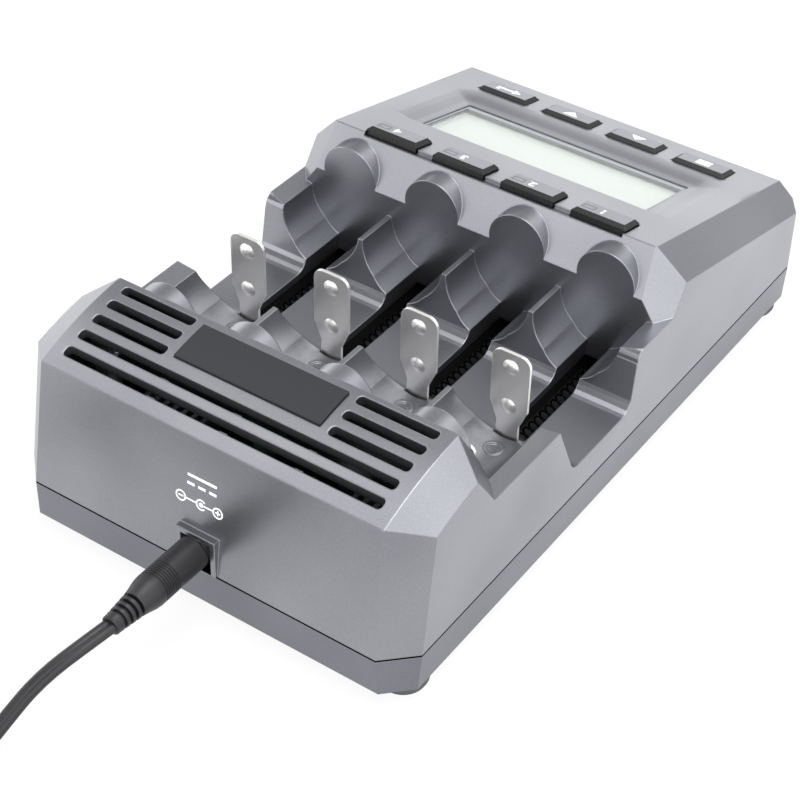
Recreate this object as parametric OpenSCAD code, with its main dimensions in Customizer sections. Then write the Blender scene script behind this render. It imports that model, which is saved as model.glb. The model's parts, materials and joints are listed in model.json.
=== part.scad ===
// Four-bay desktop battery charger with sliding contacts, a display and a small DC lead.
// Frame: X across, user end at -Y, supply end at +Y, Z up from the table; origin at bottom centre.

/* [Case] */
// Rim between the outer cradles and the sides, at the seam
rim_w = 5.725; // [5.2:0.025:7]
// Height of the seam above the table
seam_z = 13.8; // [13.4:0.2:15]
// Width of the dark gap between the two shells
seam_gap = 0.4; // [0.2:0.1:0.6]
// Wall of both shells
wall = 2.2; // [1.8:0.1:2.6]
// Cut across each vertical corner
corner_cut = 7.1; // [5:0.1:8]
// Inward lean of the long sides above the seam, degrees
side_lean = 1.2; // [0.6:0.1:2]
// Turn of the bevel beside each inner block corner, degrees from X
bevel_turn = 43; // [40:1:48]
// Rise of that bevel's normal, degrees
bevel_rise = 26; // [24:1:30]

/* [Display block] */
// Length of the display block at the seam
lcd_block_l = 78.4; // [77:0.2:80]
// Height of the display panel at its bay edge
panel_top_z = 53.95; // [52:0.05:56]
// Height of the display panel at its user edge
panel_low_z = 37.2; // [36:0.2:40]
// Inward lean of the user end over its height
lcd_end_lean = 4.9; // [4:0.1:6]
// Run of both slopes from the bay wall up to the block's edge
slope_run = 6.6; // [6:0.1:7.4]
// Height of the foot of both slopes
slope_foot_z = 42.7; // [42:0.1:44]
// Inset of the panel's bay edge from the sides
panel_in = 8.4; // [7.6:0.1:9]
// Widening of the panel's half width at the user edge
panel_flare = 1.3; // [0:0.1:1.6]

/* [Supply block] */
// Length of the supply block at the seam
dc_block_l = 38.4; // [37:0.2:44]
// Height of the supply block at its bay edge
dc_top_z = 54.2; // [53:0.1:56]
// Radius of its arched top
dc_top_r = 87.1; // [80:0.1:100]
// Inset of the arched top from the sides
dc_in = 8.7; // [8:0.1:10]
// Inward lean of the supply end, degrees
dc_end_lean = 7.25; // [5:0.25:8]
// Drop of the side bevels at the full width
dc_bevel_drop = 6.8; // [5:0.1:8]

/* [Bays] */
// Number of bays
bays = 4; // [4:1:4]
// Spacing of the bays
bay_pitch = 24.95; // [24.6:0.05:25.3]
// Length between the two bay walls
bay_l = 70.4; // [69.8:0.2:72]
// Radius of the lower cradle
cradle_r = 9; // [8.6:0.1:9.4]
// Height of the lower cradle's axis
cradle_z = 33.4; // [33:0.1:33.8]
// Radius of the upper cradle
upper_r = 11.85; // [11.6:0.05:12]
// Height of the upper cradle's axis
upper_z = 37.6; // [37.2:0.1:38]
// Height of the ridges between the bays
ridge_z = 36.9; // [36:0.1:37.4]
// Height of the outer rim
rim_z = 38.2; // [37.6:0.1:39]
// Underside of the bay tray
tray_z = 20.2; // [19.6:0.1:20.8]
// Radius of the half-round lugs over the bays
lug_r = 7.9; // [7:0.1:8.6]
// Height of the lug axis
lug_z = 44.2; // [43.6:0.1:44.8]
// Floor of the finger scoop
scoop_z = 22.2; // [22:0.1:23]
// Start of the finger scoop from the display-side wall
scoop_start = 14.1; // [13:0.1:16]
// Length of the finger scoop at its floor
scoop_l = 26.6; // [25:0.1:28]
// Fillet along the scoop floor
scoop_r = 4; // [3:0.5:5]
// Lean of the scoop's supply side from upright, degrees
scoop_lean = 24; // [20:1:27]

/* [Carriages] */
// Width of the long slot in each bay
slot_w = 6.4; // [6.2:0.1:6.8]
// Width of the contact blade
blade_w = 10; // [9:0.5:11]
// Thickness of the contact blade
blade_t = 0.8; // [0.6:0.1:1]
// Top of the contact blade
blade_top_z = 48.9; // [47:0.1:50]
// Contact face of the blade at rest, from the display-side wall
blade_rest = 42; // [41:0.2:43]
// Diameter of the pressed dimples
dimple_d = 4.2; // [3.6:0.1:4.6]
// Height of the dimples
dimple_h = 0.9; // [0.6:0.1:1.2]
// Height of the slider block
slider_h = 5; // [4.6:0.1:5.2]
// Length of the slider block
slider_l = 9; // [8:0.5:10]
// Width of the slider block
slider_w = 7.8; // [7.4:0.1:8]
// Clearance round the sliding and pressed pieces
play = 0.25; // [0.2:0.05:0.3]
// Wall and floor of the slider channels
channel_wall = 1.2; // [1:0.1:1.4]
// Solid length of the return spring and its stop
spring_stack = 14.5; // [13:0.5:17]
// Outer diameter of the return spring
spring_d = 4.4; // [4:0.1:4.6]
// Wire of the return spring
spring_wire = 0.5; // [0.4:0.05:0.6]
// Number of spring turns
spring_turns = 12; // [10:1:14]

/* [Fixed contacts] */
// Width of the fixed contact plate
plate_w = 16; // [14:0.5:16.5]
// Top of the fixed contact plate
plate_top_z = 44; // [43:0.5:46]
// Thickness of the fixed contact plate
plate_t = 0.8; // [0.6:0.1:1]
// Gap between the plate and the bay wall
plate_gap = 1.4; // [1:0.1:1.8]
// Width of the plate's tail through the tray
tail_w = 6; // [5:0.5:7]

/* [Display and keys] */
// Depth of the display recess under the panel
recess_d = 1.5; // [1.2:0.1:1.7]
// Width of the display opening
lcd_w = 66.6; // [64:0.2:68]
// Length of the display opening along the panel
lcd_l = 25.4; // [24:0.2:26]
// Start of the display opening from the panel's bay edge
lcd_u = 19.2; // [18.6:0.2:20]
// Thickness of the window and of the display glass
lcd_glass = 1.2; // [1:0.1:1.6]
// Depth of the soft dish round the display
dish_d = 1.1; // [0.8:0.05:1.15]
// Width of the dish's slope along the panel
dish_l = 9.6; // [8:0.2:10.2]
// Width of the dish's slope across the panel
dish_w = 7; // [5:0.5:8]
// Width of its slope on the side of the slot keys
dish_near = 0.8; // [0.6:0.1:1.4]
// Thickness of the backlight
backlight_t = 2.4; // [2:0.1:2.6]
// Spacing of the keys across the panel
key_pitch = 20; // [19.6:0.2:20.4]
// Width of a key at the panel
key_w = 15; // [14:0.2:16]
// Length of a key at the panel
key_l = 7.4; // [7:0.1:7.8]
// Bevel round the top of a key
key_bevel = 0.9; // [0.6:0.1:1.1]
// Start of the slot keys from the panel's bay edge
slot_key_u = 0.9; // [0.8:0.1:1.4]
// Height of the slot keys above the panel
slot_key_h = 1.4; // [1.2:0.1:1.6]
// Start of the function keys from the panel's bay edge
menu_key_u = 55.8; // [55:0.2:56.6]
// Height of the function keys above the panel
menu_key_h = 0.9; // [0.8:0.1:1.2]
// Key travel
key_travel = 0.6; // [0.5:0.1:0.6]
// Depth of the ledge in front of the slot keys
ledge_d = 1; // [0.8:0.1:1.2]
// Thickness of the circuit boards
board_t = 1.6; // [1.4:0.1:1.8]

/* [Vents] */
// Width of a vent slot
vent_w = 2.7; // [2.4:0.1:3]
// Spacing of the vent rows
vent_pitch = 4.95; // [4.8:0.05:5.1]
// Number of vent rows
vent_rows = 5; // [4:1:5]
// Centre of the first vent row from the bay wall
vent_start = 9.55; // [9.4:0.05:10]
// End of the vents from the sides
vent_in = 12; // [11.5:0.5:14]
// Rows cut short by the plate
short_rows = 3; // [3:1:3]
// Inner end of the short rows
vent_inner = 22.2; // [22:0.2:24]
// Width of the bare plate
badge_w = 39.6; // [38:0.2:40]
// Length of the bare plate
badge_l = 10.6; // [10:0.1:11]
// Height of the plate above the top
badge_h = 0.5; // [0.3:0.1:0.8]

// Spacing of the nubs on the long vents' edges
nub_pitch = 20; // [16:0.5:20]
// Reach of a nub into its vent
nub_l = 0.7; // [0.5:0.1:1]

/* [Base] */
// Underside of the base above the table
base_z = 3.5; // [3:0.1:4]
// Inward draft of the base sides
base_draft = 0.5; // [0.3:0.1:0.8]
// Diameter of the rubber feet
foot_d = 12; // [10:0.5:12]
// Foot centre from the sides
foot_in_sides = 7; // [6.8:0.1:7.6]
// Foot centre from the ends
foot_in_ends = 10.6; // [10.2:0.2:11.6]
// Depth of the foot seat
foot_seat = 0.8; // [0.6:0.1:1]
// Case screws at the ends, from the side
screw_in_ends = 10.2; // [10:0.1:11]
// Case screws beside the bays, from the side
screw_in_sides = 6.4; // [6.3:0.1:6.8]
// Radius of the case screws
screw_r = 1.2; // [1.1:0.05:1.3]
// Height of the main board's underside
board_z = 7.6; // [7.4:0.1:8]
// Side of the fan
fan_w = 25; // [23:0.5:25]
// Height of the fan
fan_h = 7.4; // [7:0.1:7.6]
// Fan centre from the supply-side bay wall
fan_back = 11.9; // [11.8:0.05:12]
// Number of fan blades
fan_blades = 7; // [5:1:9]
// Height of the heat sinks
sink_h = 16; // [12:0.5:18]
// Number of fins on each
sink_fins = 7; // [5:1:7]
// Thickness of a fin
fin_t = 1.2; // [1:0.1:1.4]

/* [Supply lead] */
// Width of the jack frame
jack_frame_w = 10.8; // [10:0.1:12]
// Top of the jack frame
jack_frame_z = 24.2; // [24:0.1:25]
// Wall of the jack frame
jack_frame_wall = 1.3; // [1.2:0.1:1.5]
// Front of the jack frame beyond the seam edge
jack_proud = 0.5; // [0.4:0.1:1]
// Height of the jack axis
jack_z = 19.6; // [19.4:0.1:19.7]
// Radius of the plug body
plug_r = 4.1; // [3.8:0.1:4.4]
// Length of the plug body with its strain relief
plug_l = 27.5; // [26:0.5:30]
// Radius of the plug barrel
barrel_r = 2.75; // [2.7:0.05:2.8]
// Length of the plug barrel
barrel_l = 9.5; // [8:0.5:10]
// Width of the flat twin cord
cord_d = 3.9; // [3.9:0.1:3.9]
// Thickness of the cord
cord_t = 2.3; // [2.3:0.1:2.3]
// Turns in the bottom layer of the coil
coil_turns = 4; // [4:1:4]
// Mean diameter of the coil
coil_mean_d = 44; // [44:1:44]
// Diameter of the in-line socket
socket_d = 8; // [7.6:0.2:8]
// Length of the in-line socket
socket_l = 24; // [22:1:26]

/* [Hidden] */
$fn = 64;
eps = 0.01;
case_w = (bays - 1) * bay_pitch + 2 * (upper_r + rim_w);
case_l = lcd_block_l + bay_l + dc_block_l;
half_w = case_w / 2;
half_l = case_l / 2;
panel_half_w = half_w - panel_in;
dc_half_w = half_w - dc_in;
vent_reach = half_w - vent_in;
foot_x = half_w - foot_in_sides;
foot_y = half_l - foot_in_ends;
top_z0 = seam_z + seam_gap / 2;
base_z1 = seam_z - seam_gap / 2;
sky = 70;

// Bay walls along Y
wall_y0 = -half_l + lcd_block_l;
wall_y1 = wall_y0 + bay_l;
// Panel edge over the display-side wall, and the panel's tilt
edge_y0 = wall_y0 - slope_run;
edge_y1 = wall_y1 + slope_run * (dc_top_z - slope_foot_z) / (panel_top_z - slope_foot_z);
// Start of the outer rims' slope, inside the outer cradles
rim_inner_x = (bays - 1) / 2 * bay_pitch + upper_r - 1;
panel_tilt = atan2(panel_top_z - panel_low_z, edge_y0 + half_l - lcd_end_lean);
panel_l = (edge_y0 + half_l - lcd_end_lean) / cos(panel_tilt);
// Axis of the arched top, crowned over the supply-side wall
arch_z = dc_top_z - sqrt(dc_top_r ^ 2 - (edge_y1 - wall_y1) ^ 2);

// Bay 1 is at -X, read from the user end
function bay_x(i) = (i - (bays + 1) / 2) * bay_pitch;

// Key columns read from the user end: slot keys 1 to 4 from -X to +X
function key_x(i) = (i - (bays + 1) / 2) * key_pitch;

// A lug runs back until the slope covers its top
lug_l = slope_run * (lug_z + lug_r - slope_foot_z) / (panel_top_z - slope_foot_z) + 0.1;
scoop_y0 = wall_y0 + scoop_start;
scoop_y1 = scoop_y0 + scoop_l;
blade_y = wall_y0 + blade_rest;
blade_back_y = blade_y - blade_t;
blade_travel = blade_back_y - wall_y0 - 0.3;
slot_y1 = blade_y + 0.5;
neck_w = slot_w - 0.6;

slider_top_z = tray_z - play;
slider_z = slider_top_z - slider_h;
slider_y1 = blade_y + 2.8;
slider_y0 = slider_y1 - slider_l;
channel_floor_z = slider_z - 0.1;
channel_w = slider_w + 2 * play;
channel_y1 = slider_y1 + 0.3;
channel_y0 = slider_y0 - blade_travel - spring_stack;
spring_y0 = channel_y0;
spring_y1 = slider_y0;
spring_z = slider_z + slider_h / 2;

contact_y = wall_y1 - plate_gap - plate_t;
board_top_z = board_z + board_t;
board_half_w = half_w - 10;
board_y0 = -half_l + 33.6;
board_y1 = half_l - 8;
board_posts = [
    for (s = [-1, 1], y = [board_y0 + 6, slider_y1, board_y1 - 5]) [s * (board_half_w - 4), y]
];
lip_h = 1.8;
lip_play = 0.5;
fan_y = wall_y1 + fan_back;
fan_z = base_z + wall;
fan_bore_r = fan_w / 2 - 1;
fan_hub_r = fan_bore_r * 0.44;
fan_shaft_r = 1;
// Depth of the display parts under the panel
window_d = recess_d;
cell_d = window_d + lcd_glass + 0.1;
backlight_d = cell_d + lcd_glass;
key_board_d = backlight_d + backlight_t;
key_skirt = 3;
switch_top_d = key_skirt + key_travel + 0.2;

// Places of the case screws and of the pegs that hold the slider rails
screw_at = [
    for (s = [-1, 1], p = [
        [half_w - screw_in_ends, -half_l + 21.6], [half_w - screw_in_sides, wall_y0 - 10.8],
        [half_w - screw_in_sides, wall_y1 - 7.2], [half_w - screw_in_ends, half_l - 23.6]
    ]) [s * p[0], p[1]]
];
peg_at = [for (y = [wall_y0 + 7, wall_y0 + 38]) [0, y]];
boss_r = 3.1;
pilot_r = screw_r + 0.05;
screw_hole_r = screw_r + 0.4;
head_r = 2.6;
head_h = 1.6;
head_seat_z = base_z + 3.6;
small_screw_r = 0.9;
board_screw_l = board_top_z - base_z - wall - 0.3;
key_board_half_w = panel_half_w - 0.6;
key_board_u0 = slot_key_u + 0.7;
key_board_u1 = menu_key_u + key_l + 1.3;
sink_x0 = fan_w / 2 + 8.5;
sink_x1 = board_half_w - 6;
sink_y0 = wall_y1 + 2.9;
sink_y1 = board_y1 - 9.5;
post_x = panel_half_w - 3.1;
post_u = [lcd_u - 5.7, lcd_u + lcd_l - 2];

plug_y0 = half_l + jack_proud + 0.3;
plug_y1 = plug_y0 + plug_l;
jack_front_y = half_l - wall - 0.6;
jack_open_w = jack_frame_w - 2 * jack_frame_wall;
jack_open_z = jack_frame_z - jack_frame_wall;
cord_r = cord_d / 2;
cord_end = [
    [0, plug_y1, jack_z], [0.5, 126, 19.5], [1.7, 131, 18.6],
    [3.6, 136.4, 16.6], [5.6, 141.4, 13.4], [7.4, 146.2, 9.2], [8.8, 150.8, 5.4],
    [9.8, 155.2, 2.5], [10.6, 160, 1.4], [11.1, 165, 1.15]
];
coil_c = [39, 180];
coil_w = coil_turns * cord_d;
coil_in_r = coil_mean_d / 2 - coil_w / 2;
coil_out_r = coil_mean_d / 2 + coil_w / 2;
coil_h = 2 * cord_t;
tail_x = 70.9;
tail_route = [
    [tail_x, 179.5, 3.5], [tail_x + 0.2, 176, 3.5], [tail_x + 0.6, 172, 3.8],
    [tail_x + 0.8, 168, 4], [tail_x + 0.8, 164, 4]
];
socket_at = [tail_x + 0.8, 164, socket_d / 2];

function unit(v) = v / norm(v);
function turned(v) = [-v[1], v[0]];
// Anticlockwise outline p with every side moved inwards by d
function inset(p, d) = [
    for (i = [0 : len(p) - 1])
        let (n = len(p),
             a = turned(unit(p[i] - p[(i + n - 1) % n])),
             b = turned(unit(p[(i + 1) % n] - p[i])))
            p[i] + d * (a + b) / (1 + a * b)
];
// Points of an arc
function arc(c, r, a0, a1, n = 5) = [for (i = [0 : n]) let (a = a0 + (a1 - a0) * i / n) c + r * [cos(a), sin(a)]];
// Rectangle with rounded corners, centred
function pill(l, w, r) = concat(
    arc([l / 2 - r, w / 2 - r], r, 0, 90), arc([-l / 2 + r, w / 2 - r], r, 90, 180),
    arc([-l / 2 + r, -w / 2 + r], r, 180, 270), arc([l / 2 - r, -w / 2 + r], r, 270, 360)
);

// Outline in Y and Z drawn across the full width
module across(points, width) rotate([90, 0, 90]) linear_extrude(width, center = true) polygon(points);

// Outline in X and Z drawn from y0 to y1
module along(points, y0, y1) translate([0, y1, 0]) rotate([90, 0, 0]) linear_extrude(y1 - y0) polygon(points);

// Cylinder lying along Y
module rod(x, y0, z, r, l) translate([x, y0, z]) rotate([-90, 0, 0]) cylinder(r = r, h = l);

// Box given by two corners
module block(a, b) translate(a) cube(b - a);

// Solid through a list of rings, each counterclockwise as seen from the last one
module loft(rings) {
    n = len(rings[0]);
    m = len(rings);
    polyhedron(
        [for (ring = rings) each ring],
        concat(
            [[for (j = [0 : n - 1]) j]],
            [for (k = [0 : m - 2], j = [0 : n - 1])
                [k * n + j, (k + 1) * n + j, (k + 1) * n + (j + 1) % n, k * n + (j + 1) % n]],
            [[for (j = [n - 1 : -1 : 0]) (m - 1) * n + j]]
        )
    );
}

// Frame of the display panel: y runs up the panel to its bay edge, z is outwards
module on_panel() translate([0, edge_y0, panel_top_z]) rotate([panel_tilt, 0, 0]) children();

// Everything beyond a plane through p that faces turn and rise, moved inwards by d
module beyond(p, turn, rise, d) translate(p) rotate([0, 90 - rise, turn]) translate([-60, -60, -d]) cube([120, 120, 60]);

// Outline in plan, inset by d; with grow the sides stand further out on the same corner cuts
function outline(d = 0, grow = 0) = let (w = half_w + grow, l = half_l + grow, c = corner_cut + 2 * grow) inset([
    [-w + c, -l], [w - c, -l], [w, -l + c], [w, l - c], [w - c, l], [-w + c, l], [-w, l - c], [-w, -l + c]
], d);

// Upright sides with their lean, inset by d
function sides(d = 0) = let (lean = tan(side_lean)) [
    [-half_w - seam_z * lean + d, 0], [half_w + seam_z * lean - d, 0],
    [half_w - (sky - seam_z) * lean - d, sky], [-half_w + (sky - seam_z) * lean + d, sky]
];

module within_outline(d = 0) intersection() {
    translate([0, 0, 1]) linear_extrude(sky - 2) polygon(outline(d, 2));
    along(sides(d), -half_l - 5, half_l + 5);
}

// Y of the user end's outer face at height z, and the foot of a block, lower for a cavity
function lcd_end_y(z) = -half_l + (z - seam_z) * lcd_end_lean / (panel_low_z - seam_z);
function foot(z0, d) = d > 0 ? z0 - d - 1 : z0;

// The display block, with its walls moved inwards by d and its foot at z0
module lcd_block(z0, d = 0) difference() {
    intersection() {
        across(inset([
            [lcd_end_y(foot(z0, d)), foot(z0, d)], [wall_y0, foot(z0, d)], [wall_y0, slope_foot_z],
            [edge_y0, panel_top_z], [-half_l + lcd_end_lean, panel_low_z]
        ], d), case_w + 2);
        within_outline(d);
    }
    on_panel() for (s = [-1, 1])
        translate([s * panel_half_w, 0, 0])
            rotate([0, 0, s * atan2(panel_flare, panel_l)])
                rotate([0, s * 45, 0])
                    translate([-60, -120, -d]) cube([120, 240, 60]);
    for (s = [-1, 1])
        beyond([s * panel_half_w, edge_y0, panel_top_z], 90 - s * (90 - bevel_turn), bevel_rise, d + 0.2);
}

// The supply block, made the same way round its arched top
module dc_block(z0, d = 0) difference() {
    intersection() {
        across(inset([
            [wall_y1, foot(z0, d)], [half_l + (foot(z0, d) - seam_z) * -tan(dc_end_lean), foot(z0, d)],
            [half_l - (sky - seam_z) * tan(dc_end_lean), sky],
            [wall_y1 + (edge_y1 - wall_y1) * (sky - slope_foot_z) / (dc_top_z - slope_foot_z), sky],
            [wall_y1, slope_foot_z]
        ], d), case_w + 2);
        within_outline(d);
        translate([0, wall_y1, arch_z]) rotate([0, 90, 0]) rotate_extrude($fn = 240)
            polygon([
                [0, -half_w - 1], [dc_top_r - d - dc_bevel_drop, -half_w - 1],
                [dc_top_r - d, -dc_half_w], [dc_top_r - d, dc_half_w],
                [dc_top_r - d - dc_bevel_drop, half_w + 1], [0, half_w + 1]
            ]);
    }
    for (s = [-1, 1]) {
        beyond([s * dc_half_w, edge_y1, dc_top_z], s * (90 - bevel_turn) - 90, bevel_rise, d + 0.2);
        // The corner facets lean as the end does
        beyond([s * (half_w - corner_cut), half_l, seam_z], 90 - s * 45, dc_end_lean, d);
    }
}

// The rim and the solid that the bays are cut from
module bay_block() {
    rim_x = half_w - (rim_z - seam_z) * tan(side_lean);
    far_z = ridge_z + (rim_z - ridge_z) / (rim_x - rim_inner_x) * (half_w + 2 - rim_inner_x);
    intersection() {
        along([
            [-half_w - 2, top_z0], [half_w + 2, top_z0], [half_w + 2, far_z], [rim_inner_x, ridge_z],
            [-rim_inner_x, ridge_z], [-half_w - 2, far_z]
        ], wall_y0 - 9, wall_y1 + 9);
        within_outline();
    }
}

// Finger scoop in Y and Z, open at the top
function scoop_side() =
    let (lean = tan(scoop_lean),
         c1 = [scoop_y1 - scoop_r * (1 / cos(scoop_lean) - lean), scoop_z + scoop_r])
    concat(
        arc([scoop_y0 + scoop_r, scoop_z + scoop_r], scoop_r, 180, 270),
        arc(c1, scoop_r, 270, 360 - scoop_lean),
        [[c1[0] + scoop_r / cos(scoop_lean) + (sky - c1[1]) * lean, sky], [scoop_y0 - 1.5, sky],
         [scoop_y0 - 1.5, ridge_z]]
    );

// Rounded top of the outer rims where the scoop begins
module rim_round() {
    r = 3.4;
    y = scoop_y0 - 1.4;
    difference() {
        across(
            concat([[scoop_y0 + 1, rim_z - r + 0.2], [scoop_y0 + 1, sky], [y - r, sky]], arc([y - r, rim_z - r + 0.2], r, 90, 0)),
            case_w + 2
        );
        block([-rim_inner_x, y - r - 1, 0], [rim_inner_x, scoop_y0 + 3, sky + 1]);
    }
}

module cradles(d = 0) for (i = [1 : bays]) {
    rod(bay_x(i), wall_y0 + d, cradle_z, cradle_r, bay_l - 2 * d);
    rod(bay_x(i), wall_y0 + d, upper_z, upper_r, bay_l - 2 * d);
}

// Polarity mark pressed into each cradle
module minus_mark(x) {
    difference() {
        translate([x, wall_y1 - 23.1, cradle_z - cradle_r - 1]) {
            difference() {
                cylinder(d = 4.8, h = 3);
                translate([0, 0, -1]) cylinder(d = 3.4, h = 6);
            }
            translate([-1.2, -0.3, 0]) cube([2.4, 0.6, 3]);
        }
        rod(x, wall_y0, cradle_z, cradle_r - 0.35, bay_l);
    }
}

// Vent slots through the arched top
module vents() for (row = [0 : vent_rows - 1]) {
    y = wall_y1 + vent_start + row * vent_pitch;
    inner = row < short_rows ? vent_inner : 0;
    half = (vent_reach - inner) / 2;
    if (inner > 0)
        for (s = [-1, 1])
            translate([s * (inner + half), y, arch_z + dc_top_r - 16]) linear_extrude(20)
                polygon(pill(2 * half, vent_w, 1));
    else
        translate([0, y, arch_z + dc_top_r - 16]) linear_extrude(20) polygon(pill(2 * vent_reach, vent_w, 1));
}

// Bare plate between the vents, thickness from the radius r0 to r1
module arched_plate(w, l, r0, r1) intersection() {
    translate([0, wall_y1, arch_z]) rotate([0, 90, 0]) rotate_extrude($fn = 240)
        polygon([[r0, -w / 2], [r1, -w / 2], [r1, w / 2], [r0, w / 2]]);
    y = wall_y1 + vent_start + (short_rows - 1) / 2 * vent_pitch;
    block([-w / 2, y - l / 2, 40], [w / 2, y + l / 2, sky]);
}

module jack_frame() block(
    [-jack_frame_w / 2, half_l - 5, top_z0], [jack_frame_w / 2, half_l + jack_proud, jack_frame_z]
);

// Ring of the dish round the display, at the share f of its slope
function dish_ring(f, z) = let (
    x = lcd_w / 2 + f * dish_w,
    y0 = -lcd_u - lcd_l - f * dish_l,
    y1 = -lcd_u + f * dish_near,
    c = 0.4 + f * 4,
    e = 0.4 + f * 0.6
) [
    [x - c, y0, z], [x, y0 + c, z], [x, y1 - e, z], [x - e, y1, z],
    [e - x, y1, z], [-x, y1 - e, z], [-x, y0 + c, z], [c - x, y0, z]
];

// Soft dish round the display
module panel_dish() on_panel() loft([
    dish_ring(-0.04, -dish_d), dish_ring(0.3, -0.82 * dish_d), dish_ring(0.7, -0.25 * dish_d), dish_ring(1.06, 0.05)
]);

// Openings in the panel for the display and the keys
module panel_cuts() on_panel() {
    block([-lcd_w / 2, -lcd_u - lcd_l, -4], [lcd_w / 2, -lcd_u, 1]);
    block([-lcd_w / 2 - 1.6, -lcd_u - lcd_l - 1.6, -4], [lcd_w / 2 + 1.6, -lcd_u + 1.6, -window_d]);
    for (i = [1 : bays]) {
        block([key_x(i) - key_w / 2 - play, -slot_key_u - key_l - play, -6],
              [key_x(i) + key_w / 2 + play, -slot_key_u + play, 1]);
        block([key_x(i) - key_w / 2 - play, -menu_key_u - key_l - play, -6],
              [key_x(i) + key_w / 2 + play, -menu_key_u + play, 1]);
    }
    block([key_x(1) - key_w / 2, -slot_key_u - 0.6, -ledge_d], [key_x(bays) + key_w / 2, 3, 1]);
}

// Nubs on the edges of the long vents, where the mould's inserts meet
module vent_nubs() intersection() {
    for (k = [short_rows : vent_rows - 1], i = [-1 : 1])
        let (x = i * nub_pitch - 2, y = wall_y1 + vent_start + k * vent_pitch + vent_w / 2)
        block([x - 1, y - nub_l, dc_top_z - 14], [x + 1, y + 0.8, sky]);
    difference() {
        dc_block(top_z0, 0.7);
        dc_block(top_z0, wall + 0.6);
    }
}

module top_housing() color("silver") {
    vent_nubs();
    difference() {
        union() {
            difference() {
                union() {
                    lcd_block(top_z0);
                    dc_block(top_z0);
                    bay_block();
                    jack_frame();
                    for (i = [1 : bays]) {
                        rod(bay_x(i), wall_y0 - lug_l, lug_z, lug_r, lug_l);
                        rod(bay_x(i), wall_y1, lug_z, lug_r, lug_l);
                    }
                }
                lcd_block(top_z0, wall);
                dc_block(top_z0, wall);
                intersection() {
                    block([-half_w, wall_y0 - wall - 1, top_z0 - 1], [half_w, wall_y1 + wall + 1, tray_z]);
                    along(sides(wall), wall_y0 - 9, wall_y1 + 9);
                }
                for (i = [1 : bays]) {
                    rod(bay_x(i), wall_y0 - lug_l - 1, lug_z, lug_r - wall, lug_l + 0.7 - wall);
                    rod(bay_x(i), wall_y1 + wall + 0.3, lug_z, lug_r - wall, lug_l + 0.7 - wall);
                }
                cradles();
                across(scoop_side(), case_w + 2);
                rim_round();
            }
            for (i = [1 : bays]) minus_mark(bay_x(i));
            housing_bosses();
        }
        for (i = [1 : bays]) {
            block([bay_x(i) - slot_w / 2, wall_y0 - eps, tray_z - 1], [bay_x(i) + slot_w / 2, slot_y1, ridge_z]);
            block([bay_x(i) - tail_w / 2 - 0.2, contact_y - 0.15, tray_z - 1],
                  [bay_x(i) + tail_w / 2 + 0.2, contact_y + plate_t + 0.15, ridge_z]);
        }
        panel_cuts();
        panel_dish();
        vents();
        arched_plate(badge_w + 0.2, badge_l + 0.2, dc_top_r - 0.6, dc_top_r + 4);
        block([-jack_open_w / 2, jack_front_y - 3, top_z0 - 1], [jack_open_w / 2, half_l + 3, jack_open_z]);
        for (p = screw_at) translate([p[0], p[1], base_z1 - 1]) cylinder(r = pilot_r, h = 8);
        key_board_posts(small_screw_r + 0.05, 1.2);
    }
}

// Screw bosses under the top, pegs for the rails and posts for the key board
module housing_bosses() {
    intersection() {
        union() {
            for (p = screw_at) translate([p[0], p[1], top_z0]) cylinder(r = boss_r, h = sky);
            key_board_posts(2.4, 0);
        }
        union() {
            lcd_block(top_z0, wall - 0.5);
            dc_block(top_z0, wall - 0.5);
            block([-half_w + wall, wall_y0 - 9, top_z0], [half_w - wall, wall_y1 + 9, tray_z + 0.5]);
        }
    }
    for (p = screw_at) translate([p[0], p[1], base_z1]) cylinder(r = boss_r, h = seam_gap + 1);
    for (p = peg_at) translate([p[0], p[1], channel_floor_z - channel_wall]) cylinder(r = 2, h = tray_z - channel_floor_z + 2);
}

// Posts, or with a start under the panel the pilot holes in them
module key_board_posts(r, start) on_panel()
    for (s = [-1, 1], u = post_u)
        translate([s * post_x, -u, -key_board_d]) cylinder(r = r, h = key_board_d - start);

// Base shell between z0 and z1, walls moved inwards by d
module base_form(z0, z1, d = 0) {
    lean = base_draft / (base_z1 - base_z);
    function flank(h) = [
        [-h + base_draft - (z0 - base_z) * lean + d, z0], [h - base_draft + (z0 - base_z) * lean - d, z0],
        [h - base_draft + (z1 - base_z) * lean - d, z1], [-h + base_draft - (z1 - base_z) * lean + d, z1]
    ];
    intersection() {
        along(flank(half_w), -half_l - 5, half_l + 5);
        across(flank(half_l), case_w + 10);
        translate([0, 0, z0 - 1]) linear_extrude(z1 - z0 + 2) polygon(outline(d, 2));
    }
}

module feet_places() for (sx = [-1, 1], sy = [-1, 1]) translate([sx * foot_x, sy * foot_y, 0]) children();

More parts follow.
